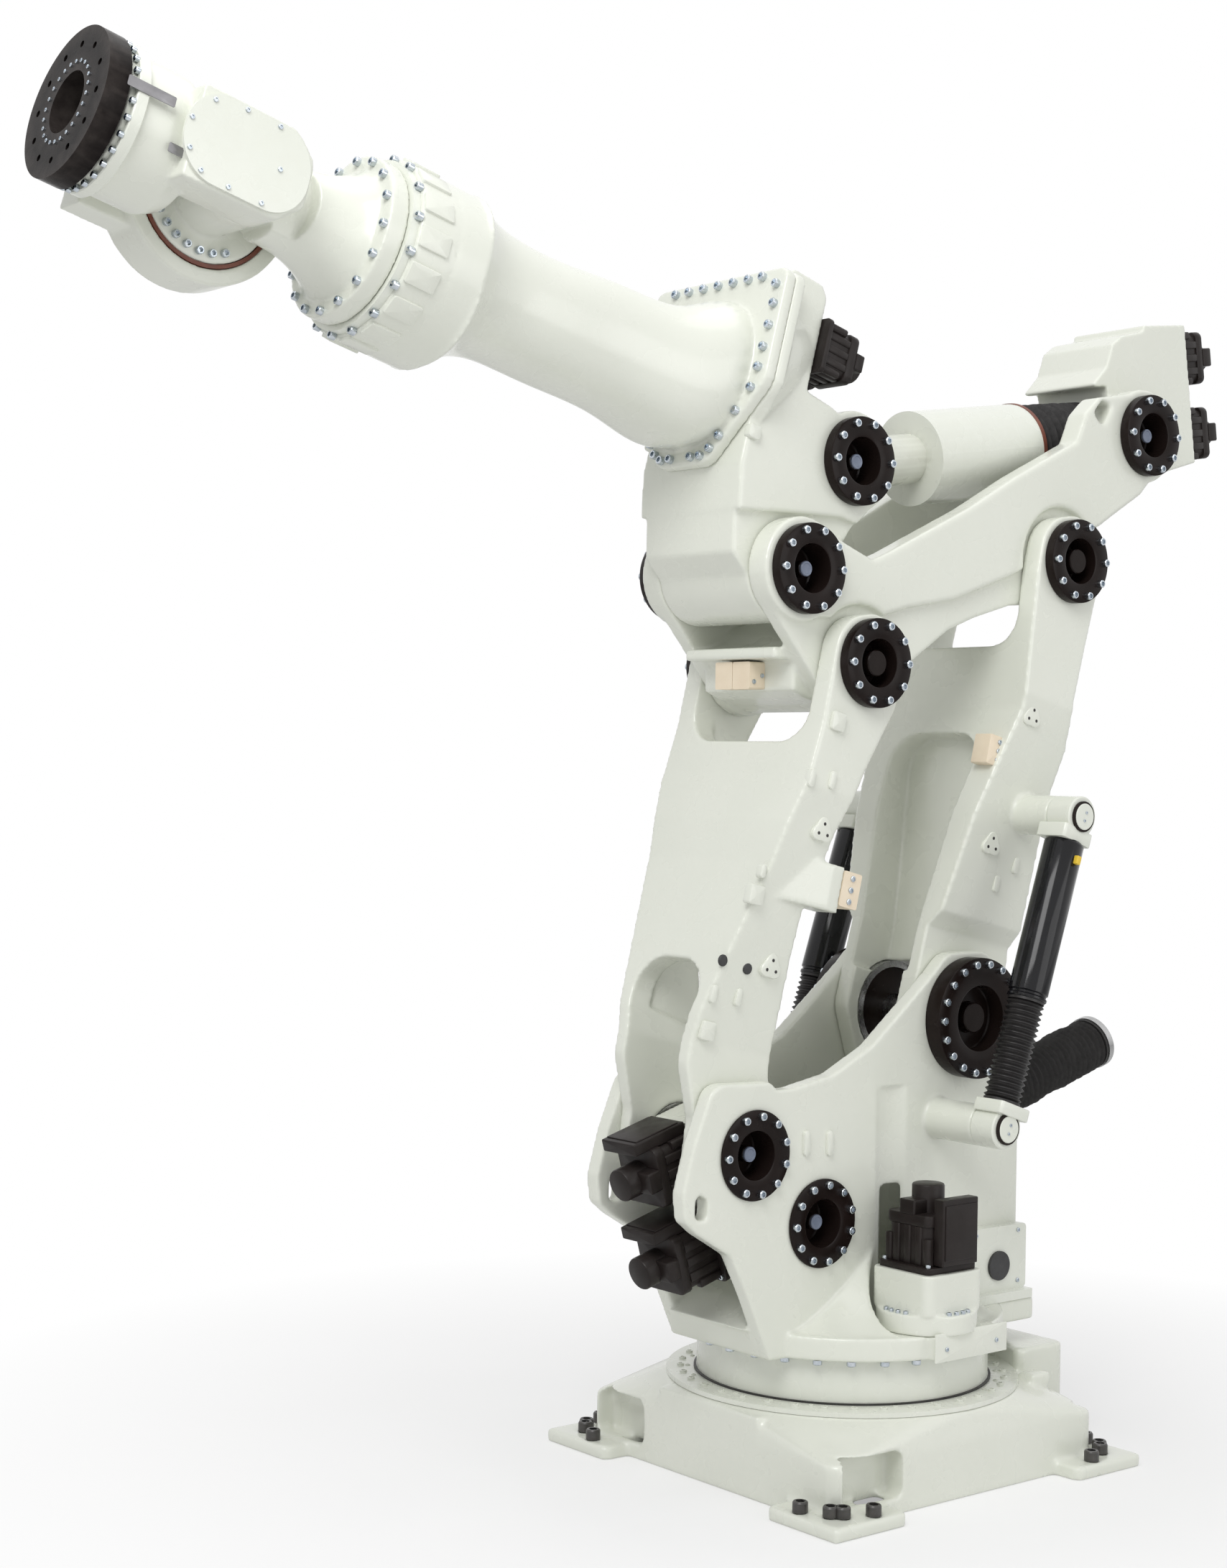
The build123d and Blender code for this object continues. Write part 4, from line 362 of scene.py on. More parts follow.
def painted_hollow_shade():
    """Darkens a colour a little in the hollows of a form: painted shade where less light reaches."""
    t, i, o = effect("painted_hollow_shade", [("Vector", "Vector", None), ("Color", "Color", (1, 1, 1, 1)),
                                      ("Shade", "Color", (0.3, 0.3, 0.25, 1)),
                                      ("Amount", "Float", 0.3)],
                     ("Color", "Color"))
    g = wire(t, "NewGeometry")
    m = wire(t, "MapRange", [("Value", g.outputs["Pointiness"])],
             [("From Min", 0.49), ("From Max", 0.42)])
    n = wire(t, "TexNoise", [("Vector", i["Vector"])],
             [("Scale", 9), ("Detail", 5), ("Roughness", 0.7)])
    a = wire(t, "Math", [(0, m.outputs["Result"]), (1, n.outputs["Fac"])], operation="MULTIPLY")
    b = wire(t, "Math", [(0, a.outputs["Value"]), (1, i["Amount"])], operation="MULTIPLY")
    x = wire(t, "Mix", [("Factor", b.outputs["Value"]), (6, i["Color"]), (7, i["Shade"])],
             data_type="RGBA")
    t.links.new(x.outputs[2], o["Color"])
    return t


def surface_relief():
    """Height of a cast and coated skin: slow waves of the metal under the fine peel of the coat."""
    t, i, o = effect("surface_relief", [("Vector", "Vector", None), ("Waves", "Float", 25.0),
                                        ("Peel", "Float", 300.0), ("Share", "Float", 0.5)],
                     ("Height", "Float"))
    a = wire(t, "TexNoise", [("Vector", i["Vector"]), ("Scale", i["Waves"])], [("Detail", 2)])
    b = wire(t, "TexNoise", [("Vector", i["Vector"]), ("Scale", i["Peel"])], [("Detail", 2)])
    x = wire(t, "Mix", [("Factor", i["Share"]), (2, a.outputs["Fac"]), (3, b.outputs["Fac"])],
             data_type="FLOAT")
    t.links.new(x.outputs[0], o["Height"])
    return t


TINT, GLOSS, EDGE_WEAR_AND_HIGHLIGHT = cloudy_tint(), uneven_gloss(), edge_wear_and_highlight()
HOLLOW_SHADE, RELIEF = painted_hollow_shade(), surface_relief()


def finish(name, deep, light, gloss, metal=0.0, coat=0.0, cloud=4.0, waves=25.0, peel=300.0,
           share=0.5, depth=0.0004, strength=0.3, edge=None, wear_and_highlight=0.6, hollow_shade_amount=0.0, sheen=0.0,
           specular=0.5):
    """A finish: tint from deep to light, range of gloss, relief in metres, edge colour as wear and painted
    highlight, painted shade in hollows.
    """
    m = bpy.data.materials.new(name)
    m.use_nodes = True
    t = m.node_tree
    b = t.nodes["Principled BSDF"]
    c = wire(t, "TexCoord").outputs["Object"]

    def grouped(tree, links, values):
        return wire(t, "Group", [("Vector", c), *links], values, node_tree=tree).outputs[0]

    colour = grouped(TINT, [], [("Scale", cloud), ("Deep", (*deep, 1)), ("Light", (*light, 1))])
    # Lighter colour on convex edges: partly wear, partly a painted highlight
    if edge:
        colour = grouped(EDGE_WEAR_AND_HIGHLIGHT, [("Color", colour)], [("Edge", (*edge, 1)), ("Amount", wear_and_highlight)])
    # Painted shade: the colour is darkened in the hollows of the form
    if hollow_shade_amount:
        colour = grouped(HOLLOW_SHADE, [("Color", colour)],
                         [("Shade", (0.3, 0.29, 0.22, 1)), ("Amount", hollow_shade_amount)])
    t.links.new(colour, b.inputs["Base Color"])
    t.links.new(grouped(GLOSS, [], [("Scale", 3 * cloud), ("Glossy", gloss[0]),
                                    ("Dull", gloss[1])]), b.inputs["Roughness"])
    height = grouped(RELIEF, [], [("Waves", waves), ("Peel", peel), ("Share", share)])
    n = wire(t, "Bump", [("Height", height)], [("Strength", strength), ("Distance", depth)])
    t.links.new(n.outputs["Normal"], b.inputs["Normal"])
    b.inputs["Metallic"].default_value = metal
    b.inputs["Coat Weight"].default_value = coat
    b.inputs["Coat Roughness"].default_value = 0.1
    b.inputs["Sheen Weight"].default_value = sheen
    b.inputs["Specular IOR Level"].default_value = specular
    return m


# The enamel is darkened in its hollows as painted shade
ENAMEL = finish("ivory_enamel", (0.735, 0.756, 0.675), (0.765, 0.782, 0.705), (0.22, 0.34),
                coat=0.3, cloud=2.5, waves=28, peel=240, share=0.35, depth=0.0012, strength=0.35,
                edge=(0.82, 0.85, 0.8), wear_and_highlight=0.5, hollow_shade_amount=0.5)
CAP = finish("black_cap", (0.009, 0.006, 0.005), (0.014, 0.009, 0.008), (0.18, 0.28), cloud=8,
             peel=700, edge=(0.12, 0.1, 0.09), wear_and_highlight=0.3, specular=0.12)
FLANGE = finish("oiled_black_oxide", (0.004, 0.003, 0.003), (0.008, 0.006, 0.006), (0.2, 0.32),
                cloud=8, peel=700, edge=(0.14, 0.12, 0.11), wear_and_highlight=0.4, specular=0.05)
MOTOR = finish("motor_coat", (0.012, 0.009, 0.008), (0.022, 0.017, 0.016), (0.3, 0.42), cloud=10,
               peel=450, depth=0.0006, edge=(0.09, 0.08, 0.075), wear_and_highlight=0.5, specular=0.2)
ZINC = finish("zinc_screw", (0.44, 0.49, 0.54), (0.64, 0.68, 0.72), (0.18, 0.3), metal=1.0,
              cloud=50, peel=900)
OXIDE = finish("oxide_screw", (0.018, 0.017, 0.017), (0.04, 0.037, 0.035), (0.3, 0.45), cloud=40,
               peel=900, edge=(0.16, 0.15, 0.14))
STEEL = finish("ground_steel", (0.4, 0.4, 0.4), (0.52, 0.52, 0.52), (0.2, 0.34), metal=1.0,
               cloud=24, peel=900)
SHEET = finish("grey_sheet", (0.24, 0.235, 0.245), (0.31, 0.305, 0.315), (0.34, 0.46), metal=0.6,
               cloud=20, peel=700)
IRON = finish("oiled_iron", (0.08, 0.08, 0.078), (0.14, 0.14, 0.135), (0.3, 0.46), metal=0.5,
              cloud=14, peel=500)
CLOTH = finish("bellows_cloth", (0.008, 0.007, 0.007), (0.02, 0.018, 0.018), (0.55, 0.75), cloud=22,
               waves=60, peel=1500, share=0.4, depth=0.002, strength=0.6, sheen=0.15)
RUBBER = finish("boot_rubber", (0.009, 0.008, 0.008), (0.018, 0.016, 0.016), (0.4, 0.55), cloud=18,
                peel=800)
GLOSS_TUBE = finish("tube_lacquer", (0.006, 0.006, 0.007), (0.01, 0.01, 0.012), (0.08, 0.14),
                    cloud=10, peel=500, depth=0.0002, specular=0.3)
# The urethane is darkened in its hollows too, as painted shade
URETHANE = finish("cast_urethane", (0.78, 0.66, 0.5), (0.84, 0.73, 0.57), (0.42, 0.56), cloud=12,
                  peel=350, hollow_shade_amount=0.3)
SEAL = finish("red_seal", (0.13, 0.035, 0.02), (0.2, 0.06, 0.035), (0.38, 0.52), cloud=16, peel=600)
PLASTIC = finish("moulded_plastic", (0.018, 0.018, 0.019), (0.035, 0.035, 0.036), (0.4, 0.55),
                 cloud=20, peel=700)
PLUG = finish("grease_plug", (0.14, 0.17, 0.24), (0.2, 0.23, 0.3), (0.35, 0.5), cloud=24, peel=700)
TAG = finish("valve_tag", (0.75, 0.5, 0.03), (0.82, 0.58, 0.06), (0.4, 0.5), cloud=24, peel=700)

FINISH = {"paint": ENAMEL, "black_caps": CAP, "zinc_bolts": ZINC, "black_bolts": OXIDE,
          "bearing_steel": STEEL, "motor_black": MOTOR, "ring_grey": IRON,
          "bellows_black": CLOTH, "boot_rubber": RUBBER, "urethane": URETHANE,
          "seal_red": SEAL, "connector": PLASTIC, "tool_black": FLANGE}
for part in frame["record"]["subparts"]:
    o = nodes[part["node"]]
    o.data.materials.clear()
    o.data.materials.append(FINISH[part["material_slot"]])
nodes["roll_ring"].data.materials[0] = ENAMEL


# Castings: the solid with what is cast on it, fused and eased all over as poured metal is
EASE_PASSES, KEPT_SHARE = 9, 0.3


def casting(name, node, body, extras=(), voxel=6, cuts=None):
    """Fuses a solid and its extras on a voxel grid, takes the cuts out and eases each edge."""
    src = nodes[node].data
    pts = np.empty(len(src.vertices) * 3)
    src.vertices.foreach_get("co", pts)
    corners = np.empty(len(src.loops), int)
    src.loops.foreach_get("vertex_index", corners)
    me = make_mesh(name, join([(pts.reshape(-1, 3), [corners.reshape(-1, 3)]), *extras]))
    raw = bpy.data.objects.new(name + "_raw", me)
    scene.collection.objects.link(raw)
    grid = raw.modifiers.new("grid", "REMESH")
    grid.mode = "VOXEL"
    grid.voxel_size = 1 * voxel * MM
    if cuts:
        tool = bpy.data.objects.new(name + "_cuts", make_mesh(name + "_cuts", join(cuts)))
        scene.collection.objects.link(tool)
        taken = raw.modifiers.new("taken", "BOOLEAN")
        taken.object = tool
        again = raw.modifiers.new("again", "REMESH")
        again.mode = "VOXEL"
        again.voxel_size = grid.voxel_size
    ease = raw.modifiers.new("ease", "SMOOTH")
    ease.iterations = EASE_PASSES
    thin = raw.modifiers.new("thin", "DECIMATE")
    thin.ratio = KEPT_SHARE
    out = bpy.data.meshes.new_from_object(raw.evaluated_get(bpy.context.evaluated_depsgraph_get()))
    bpy.data.objects.remove(raw)
    if cuts:
        bpy.data.objects.remove(tool)
    out.name = name
    out.shade_smooth()
    out.materials.clear()
    return show(name, out, body, ENAMEL, [node])


def leg_y(along, low, foot):
    """Half width of a link over its legs, which lean out in a straight line to the upper pivot."""
    return foot + (LINK_Y - foot) * min(max((along - low) / (LEG_TOP - low), 0), 1)


def lobed(r, reach):
    """Outline of a boss with three lobes, a from 0 to 2 pi: its distance from the middle is
    r + reach (0.55 + 0.45 cos^2 (1.5 d)), where d is the angle from the nearest lobe."""
    a = np.linspace(0, 2 * pi, 72, endpoint=False)
    out = reach * (0.55 + 0.45 * np.cos(1.5 * ((a + pi / 3) % (2 * pi / 3) - pi / 3)) ** 2) + r
    return np.stack([out * np.cos(a), out * np.sin(a)], -1)


def boss(r, reach, low, high, edge=3):
    """Boss over the lobed outline, drawn in a little towards its top."""
    o = lobed(r, reach)
    drawn = [(o, low), (o, high - edge), (o * (1 - 0.3 * edge / r), high - 0.3 * edge),
             (o * (1 - edge / r), high)]
    return skin(capped(np.array([level(q, z) for q, z in drawn])))


def leg_pads(base, rows, low, foot):
    """Raised pads (length, width, rise) and lobed bosses (radius, reach, rise) on the near leg;
    each row starts with its place, along the link and ahead of it."""
    made = []
    for along, ahead, w, h, proud in rows:
        if w < h:
            form = boss(w, h, -PAD_ROOT, proud)
        else:
            form = block(w, h, -PAD_ROOT, proud, 0.48 * h if w > 1.6 * h else 7, 3)
        made.append(put(form, link_side(base, along, ahead, leg_y(along, low, foot))))
    return made


PAD_ROOT = 16
FRONT_PADS = [(1251, 93, 54, 50, 13), (1071, 152, 52, 22, 9), (1084, 71, 52, 22, 9),
              (939, 54, 16, 24, 11), (783, 219, 40, 20, 8), (714, 219, 56, 54, 14),
              (531, 76, 16, 24, 11), (419, 249, 52, 22, 9), (427, 156, 52, 22, 9),
              (315, 229, 54, 50, 13)]
REAR_PADS = [(939, 48, 16, 24, 11), (529, 62, 16, 24, 11), (421, -11, 52, 22, 9),
             (492, -71, 52, 22, 9)]
elbow_pads = [put(block(44, 40, -12, 14, 10, 3), arm_side(-1641, -68, s * ROD_Y, s))
              for s in (1, -1)]
turret_pads = [put(block(24, 74, -12, 10, 12, 3), place((x, z), s * PLATE_Y, (0, s, 0), (1, 0, 0)))
               for s in (1, -1) for x, z in ((372, 1010), (278, 1002))]
low_boss = turned([(0, 200), (84, 200), (72, 222), (66, 250), (64, 400), (0, 400)], 56)
high_boss = turned([(0, 232), (86, 240), (74, 262), (70, 290), (68, 400), (0, 400)], 56)
balancer_bosses = [put(form, place(at, 0, (0, s, 0)))
                   for form, at in ((low_boss, BALANCER_LOW), (high_boss, BALANCER_HIGH))
                   for s in (1, -1)]
base_extras = [put(block(86, 60, -20, 22, 6, 4), place((x, BASE_TOP), y, UP, (1, 0, 0)))
               for x, y in ((-430, 398), (-430, -398))]

piece("front_link_pads", leg_pads(FRONT_LOW, FRONT_PADS, *FRONT_LEG), "front_link", ENAMEL)
piece("rear_link_pads", leg_pads(REAR_LOW, REAR_PADS, *REAR_LEG), "rear_link", ENAMEL)
piece("elbow_pads", elbow_pads, "arm", ENAMEL)
piece("turret_pads", turret_pads, "turret", ENAMEL)

# Pockets in the base's four sides, each with a wall behind it and a cheek beside it
POCKET_Z, POCKET_DEPTH, BACKING_DEPTH = 112, 72, 116
pocket_cuts = []
pocket = block(226, 132, 0, 78, 26, 14, (-400, 0))
backing = block(250, 160, 0, 40, 20, 4, (-400, 0))
cheek = block(90, 170, 0, 104, 16, 4, (-285, 5))
for turn in range(4):
    a = turn * pi / 2
    outward = (cos(a), sin(a), 0)
    face = place((BASE_HALF * cos(a), POCKET_Z), BASE_HALF * sin(a), outward, (-sin(a), cos(a), 0))
    base_extras += [put(form, raised(face, -BACKING_DEPTH)) for form in (backing, cheek)]
    pocket_cuts.append(put(pocket, raised(face, -POCKET_DEPTH)))
casting("base_body", "base_casting", "base", base_extras, 7, pocket_cuts)
# Sloping floor between the turret's plates, under the axis 2 motors
fill = slab([(250, 470), (500, 470), (556, 478), (470, 540), (380, 586), (250, 600)], -170, 170)
casting("turret_body", "turret_casting", "turret", [put(fill), *balancer_bosses[:2]])
casting("front_link_body", "front_link", "front_link")
casting("rear_link_body", "rear_link", "rear_link", balancer_bosses[2:])
casting("beam_body", "beam", "beam")
casting("elbow_body", "elbow_casting", "arm")
casting("arm_body", "arm_tube", "arm")
casting("roll_body", "wrist_roll", "wrist_roll", (), 5)
casting("bend_body", "bend_housing", "wrist_bend", (), 5)
casting("drive2_body", "drive2_housing", "drive2", (), 5)
casting("drive3_body", "drive3_housing", "drive3", (), 5)
casting("jt1_body", "jt1_housing", "turret", (), 4)


# Pivot caps: flanged pins that are bored out, turned
def cap(face, flange, end, head=130, shaft=94.4, bore=70, depth=90, hub=24, hub_top=34):
    """Turned cap, its height 0 on the casting's face: shaft inwards to end, flange outside,
    and a bore of a depth with a hub that ends hub_top below the flange."""
    floor = max(flange - depth, end - face + 12)
    e, top = 2.5, flange - hub_top
    return turned([(0, end - face), (shaft, end - face), (shaft, 0.2), (head - e, 0.2),
                   (head, 0.2 + e), (head, flange - e), (head - 0.3 * e, flange - 0.3 * e),
                   (head - e, flange), (bore + 5, flange), (bore + 1, flange - 1.5),
                   (bore, flange - 5), (bore, floor + 4), (bore - 4, floor), (hub + 3, floor),
                   (hub, floor + 3), (hub, top - 3), (hub - 3, top), (0, top)], 96)


def pair(mesh, *faces):
    """The mesh on both faces of each pivot; faces are (point, y)."""
    return [put(mesh, m) for point, y in faces for m in faces_of(point, y)]


def caps(name, body, meshes, node):
    """One piece of black caps in place of a node."""
    piece(name, meshes, body, CAP, [node])


link_cap = cap(LINK_Y, LINK_CAP, 195, hub=38, hub_top=10)
caps("turret_caps", "turret",
     pair(cap(PLATE_Y, PLATE_CAP, 118), (FRONT_LOW, PLATE_Y), (DRIVE2, PLATE_Y)), "turret_pins")
caps("rear_low_caps", "turret",
     pair(cap(PLATE_Y, REAR_CAP, 101, head=184.5, shaft=129.4, bore=100, depth=60, hub=46,
              hub_top=26), (REAR_LOW, PLATE_Y)), "rear_low_pins")
caps("front_top_caps", "front_link", pair(link_cap, (FRONT_TOP, LINK_Y)), "front_top_pins")
caps("rear_top_caps", "rear_link", pair(link_cap, (REAR_TOP, LINK_Y)), "rear_top_pins")
caps("beam_caps", "beam", pair(cap(BEAM_Y, BEAM_CAP, 115), (ELBOW, BEAM_Y))
     + pair(cap(BEAM_Y, BEAM_CAP, 150), (DRIVE3, BEAM_Y)), "beam_pins")
caps("rod_caps", "arm", pair(cap(ROD_Y, ROD_CAP, 101), (ROD, ROD_Y)), "rod_pins")


def plug(at):
    """Plastic plug of a pivot's grease way: a dished disc at a height over the casting's face."""
    return turned([(0, at), (22, at), (22, at + 6), (20, at + 8), (16, at + 8), (14, at + 6),
                   (0, at + 5.5)], 40)


PLUG_DEPTH = 34.5
piece("turret_plugs", pair(plug(PLATE_CAP - PLUG_DEPTH), (FRONT_LOW, PLATE_Y), (DRIVE2, PLATE_Y)),
      "turret", PLUG)
piece("beam_plugs", pair(plug(BEAM_CAP - PLUG_DEPTH), (ELBOW, BEAM_Y), (DRIVE3, BEAM_Y)),
      "beam", PLUG)
piece("rod_plugs", pair(plug(ROD_CAP - PLUG_DEPTH), (ROD, ROD_Y)), "arm", PLUG)


# Socket head screws
def screw(r, h):
    """Screw head of twelve sides; its socket is a hexagon, 0.55 r / cos a about each flat."""
    a = np.arange(12) * pi / 6
    flat = 0.55 * r / np.cos((a + pi / 6) % (pi / 3) - pi / 6)
    rows = [(r, 0), (r, 0.85 * h), (0.86 * r, h), (flat, h), (flat, 0.4 * h)]
    pts, faces = skin(np.array([np.stack([q * np.cos(a), q * np.sin(a), np.full(12, z)], -1)
                                for q, z in rows]))
    return pts, faces + [np.arange(12)[None, ::-1], np.arange(48, 60)[None]]


def screws(name, body, sets, material=ZINC, replaced=()):
    """One piece of many screws; sets holds (placing matrix, places, head radius, head height)."""
    made = [put(shift(screw(r, h), x, y), m) for m, places, r, h in sets for x, y in places]
    return piece(name, made, body, material, replaced)


CAP_SCREW = (12, 14)
ten, eleven, eighteen = ring(112, 10), ring(112, 11), ring(166, 18)
screws("turret_cap_screws", "turret",
       [(m, eleven, *CAP_SCREW) for p in (FRONT_LOW, DRIVE2)
        for m in faces_of(p, PLATE_Y + PLATE_CAP)]
       + [(m, eighteen, *CAP_SCREW) for m in faces_of(REAR_LOW, PLATE_Y + REAR_CAP)],
       replaced=["turret_pin_bolts"])
screws("front_cap_screws", "front_link",
       [(m, ten, *CAP_SCREW) for m in faces_of(FRONT_TOP, LINK_Y + LINK_CAP)],
       replaced=["front_top_bolts"])
screws("rear_cap_screws", "rear_link",
       [(m, ten, *CAP_SCREW) for m in faces_of(REAR_TOP, LINK_Y + LINK_CAP)],
       replaced=["rear_top_bolts"])
screws("beam_cap_screws", "beam",
       [(m, ten, *CAP_SCREW) for p in (ELBOW, DRIVE3) for m in faces_of(p, BEAM_Y + BEAM_CAP)],
       replaced=["beam_pin_bolts"])
screws("rod_cap_screws", "arm", [(m, ten, *CAP_SCREW) for m in faces_of(ROD, ROD_Y + ROD_CAP)],
       replaced=["rod_pin_bolts"])

half_flange = [(255, 100), (258, 160), (262, 225), (262, 290), (255, 350), (190, 380), (130, 380),
               (65, 380), (243, 40), (198, -25), (150, -95), (120, -130), (85, -150), (45, -150)]
screws("arm_flange_screws", "arm",
       [(arm_at(ARM_FLANGE), half_flange + [(-x, y) for x, y in half_flange] + [(0, 380)], 13, 16)],
       replaced=["arm_flange_bolts"])
disc_face = arm_side(0, 0, -104)
screws("wrist_screws", "wrist_roll",
       [(arm_at(ROLL_FACE), ring(206, 16), 12, 14),
        (disc_face, ring(160, 19, -120, 240, True), 11, 13)], replaced=["wrist_bolts"])
corner = [(602, 459), (566, 542), (542, 566), (459, 602)]
screws("anchor_screws", "base",
       [(upright(FOOT_Z), [(i * x, j * y) for i in (1, -1) for j in (1, -1) for x, y in corner],
         22.5, 30)], OXIDE, ["anchor_bolts"])
screws("ring_screws", "base",
       [(upright(RING_Z), ring(492, 36), 11, 6), (upright(RING_Z), ring(470, 24, 5), 7, 3)],
       ENAMEL, ["ring_bolts"])
screws("drum_screws", "turret",
       [(place((0, DRUM_Z), 0, DOWN, (1, 0, 0)), ring(466, 30, 11), 14, 14)],
       replaced=["drum_bolts"])


# Servo motors
def motor(half, flange, thick, body, can, tail, box):
    """Servo motor on z = 0 from blocks and a turned can: flange, ribbed body with corner posts,
    end cover, encoder can, plug and a terminal box on +y."""
    top = thick + body
    made = [block(2 * flange, 2 * flange, 0, thick, 16, 3),
            block(2 * half - 10, 2 * half - 10, thick - 2, top - 2, 26, 2, steps=8),
            block(2 * half, 2 * half, top - 34, top, 22, 5)]
    ribs = [(x, y) for x in (-0.93, 0.93) for y in (-0.5, 0, 0.5)]
    made += [block(0.14 * half, 0.3 * half, thick, top - 34, 5, 2, (x * half, y * half), 4)
             for x, y in ribs]
    made += [block(0.3 * half, 0.14 * half, thick, top - 34, 5, 2, (y * half, x * half), 4)
             for x, y in ribs]
    posts = [(x * 0.86 * half, y * 0.86 * half) for x in (-1, 1) for y in (-1, 1)]
    made += [block(0.3 * half, 0.3 * half, thick, thick + 0.55 * body, 8, 3, p, 4) for p in posts]
    made.append(turned([(0, top - 2), (can, top - 2), (can, top + tail - 6),
                        (can - 2, top + tail - 2), (can - 6, top + tail), (0, top + tail)], 56))
    made.append(block(0.8 * half, 0.7 * half, top - 2, top + 0.5 * tail, 6, 3, (0.62 * half, 0)))
    if box:
        made.append(block(1.66 * half, box, thick + 4, top + 0.62 * tail, 5, 3,
                          (-0.1 * half, half + box / 2 - 4)))
        made.append(block(1.5 * half, 6, thick + 20, top + 0.62 * tail - 16, 4, 2,
                          (-0.1 * half, half + box - 3)))
    return join(made)


def motors(name, body, replaced, spots, sizes, box):
    """Motors at their placing matrices with four zinc screws in each flange."""
    form = motor(*sizes, box)
    piece(name, [put(form, m) for m in spots], body, MOTOR, [replaced])
    corner = sizes[1] - 16
    places = [(x * corner, y * corner) for x in (-1, 1) for y in (-1, 1)]
    screws(name + "_screws", body, [(raised(m, sizes[2]), places, 8, 9) for m in spots])


# Half body, half flange, flange thickness, body length, can radius and can length
SERVO, WRIST_SERVO = (88, 103, 20, 147, 48, 80), (74, 82, 18, 118, 40, 60)
motors("jt1_motor_body", "turret", "jt1_motor",
       [place((PEDESTAL_X, MOTOR1_Z), PEDESTAL_Y, UP, (1, 0, 0))], SERVO, 40)
motors("drive2_motor_bodies", "drive2", "drive2_motors",
       [place(moved(DRIVE2, SCREW2, 276, o), 0, tilt(SCREW2)) for o in (20, 290)], SERVO, 36)
motors("drive3_motor_bodies", "drive3", "drive3_motors",
       [place(moved(DRIVE3, SCREW3, -408, o), 0, tilt(SCREW3 + 180)) for o in (0, 255)], SERVO, 0)
motors("wrist_motor_bodies", "arm", "wrist_motors",
       [arm_at(MOTOR_FACE, y, 262, 180) for y in (-168, 0, 168)], WRIST_SERVO, 0)
ledge = place((PEDESTAL_X, PEDESTAL_Z), PEDESTAL_Y, UP, (1, 0, 0))
screws("jt1_housing_screws", "turret",
       [(ledge, ring(133, 4, 90 * k - 17, 34, True), 8, 9) for k in range(4)])


# Bellows and boots
def folds(r_out, r_in, length, count, cuff=12, rumple=0.0):
    """Sleeve: r = r_in + (r_out - r_in) (1 - |cos(pi u)|^1.4), u from 0 to the count of folds;
    r swells by rumple times three sines of the angle a and z, which fade at both cuffs."""
    u = np.linspace(0, count, count * 8 + 1)
    r = r_in + (r_out - r_in) * (1 - np.abs(np.cos(pi * u)) ** 1.4)
    z = cuff + (length - 2 * cuff) * u / count
    outside = [(r_in - 3, 0), (r_out - 2, 0), (r_out - 2, cuff), *zip(r, z),
               (r_out - 2, length - cuff), (r_out - 2, length), (r_in - 3, length), (r_in - 3, 0)]
    pts, faces = turned(outside, 72)
    a, z = np.arctan2(pts[:, 1], pts[:, 0]), pts[:, 2]
    wave = (np.sin(2 * a + z / 37) + 0.7 * np.sin(3 * a - z / 23 + 1)
            + 0.5 * np.sin(5 * a + z / 11 + 2))
    inside = np.clip((z - cuff) / 30, 0, 1) * np.clip((length - cuff - z) / 30, 0, 1)
    swell = 1 + rumple * wave * inside
    return pts * np.stack([swell, swell, np.ones_like(z)], -1), faces


def gaiter(name, form, base, angle, start, node):
    """Sleeve on a screw's line from a start along it; it rides on no body and its placing is baked into the mesh.
    """
    o = piece(name, [put(form, place(moved(base, angle, start), 0, tilt(angle)))], None, CLOTH,
              [node], 60)
    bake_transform(o)


gaiter("drive3_gaiter", folds(140, 112, 314.4, 8, 12, 0.012), DRIVE3, SCREW3, 20.3,
       "drive3_bellows")
gaiter("drive2_gaiter", folds(86, 70, 652, 26, 9, 0.022), DRIVE2, SCREW2, -1498.7,
       "tail_bellows")
BOOT_START, TUBE_START, BOOT_KEEP = 75, 395, 0.59
boot = folds(57, 48, 319.7, 18, 8)
boots = piece("balancer_gaiters",
              [put(boot, place(moved(BALANCER_LOW, BALANCER, BOOT_START), y, tilt(BALANCER)))
               for y in (BALANCER_Y, -BALANCER_Y)],
              "balancer_upper", RUBBER, ["balancer_boots"], 60)
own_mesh(boots)


# Gas balancers: lacquered tube, white eye block with its ring, screws and valve
tube_end = BALANCER_LENGTH - 78
tube = turned([(0, TUBE_START), (57, TUBE_START), (60, 398), (60, 404), (56, 408), (56, 414),
               (60.5, 418), (60.5, tube_end - 12), (57, tube_end - 6), (50, tube_end),
               (0, tube_end)], 72)
eye = turned([(34, -45), (58, -45), (62, -41), (62, 41), (58, 45), (34, 45), (34, -45)], 56)
neck = block(112, 130, tube_end - 4, BALANCER_LENGTH - 38, 10, 4, (-8, 0))
tubes, eyes = [], []
for s in (1, -1):
    along = place(BALANCER_LOW, s * BALANCER_Y, tilt(BALANCER))
    high = place(BALANCER_HIGH, s * BALANCER_Y, (0, s, 0), tilt(BALANCER))
    tubes.append(put(tube, along))
    eyes += [put(neck, along), put(eye, high)]
end = turned([(0, 300), (30, 300), (30, 495.3), (40, 495.3), (40, 505), (38, PIN_END_Y),
              (0, PIN_END_Y)], 48)
dark = turned([(40.2, 495.3), (47, 495.3), (47, 502), (45, 504), (40.2, 504), (40.2, 495.3)], 48)
low_eye = turned([(33, -45), (58, -45), (62, -41), (62, 41), (58, 45), (33, 45), (33, -45)], 56)
low_neck = block(112, 130, 36, 74, 10, 4, (8, 0))
rod = turned([(0, 62), (22, 62), (22, 420), (0, 420)], 40)
ends, darks = {"turret": [], "rear_link": []}, {"turret": [], "rear_link": []}
low_eyes, rods = [], []
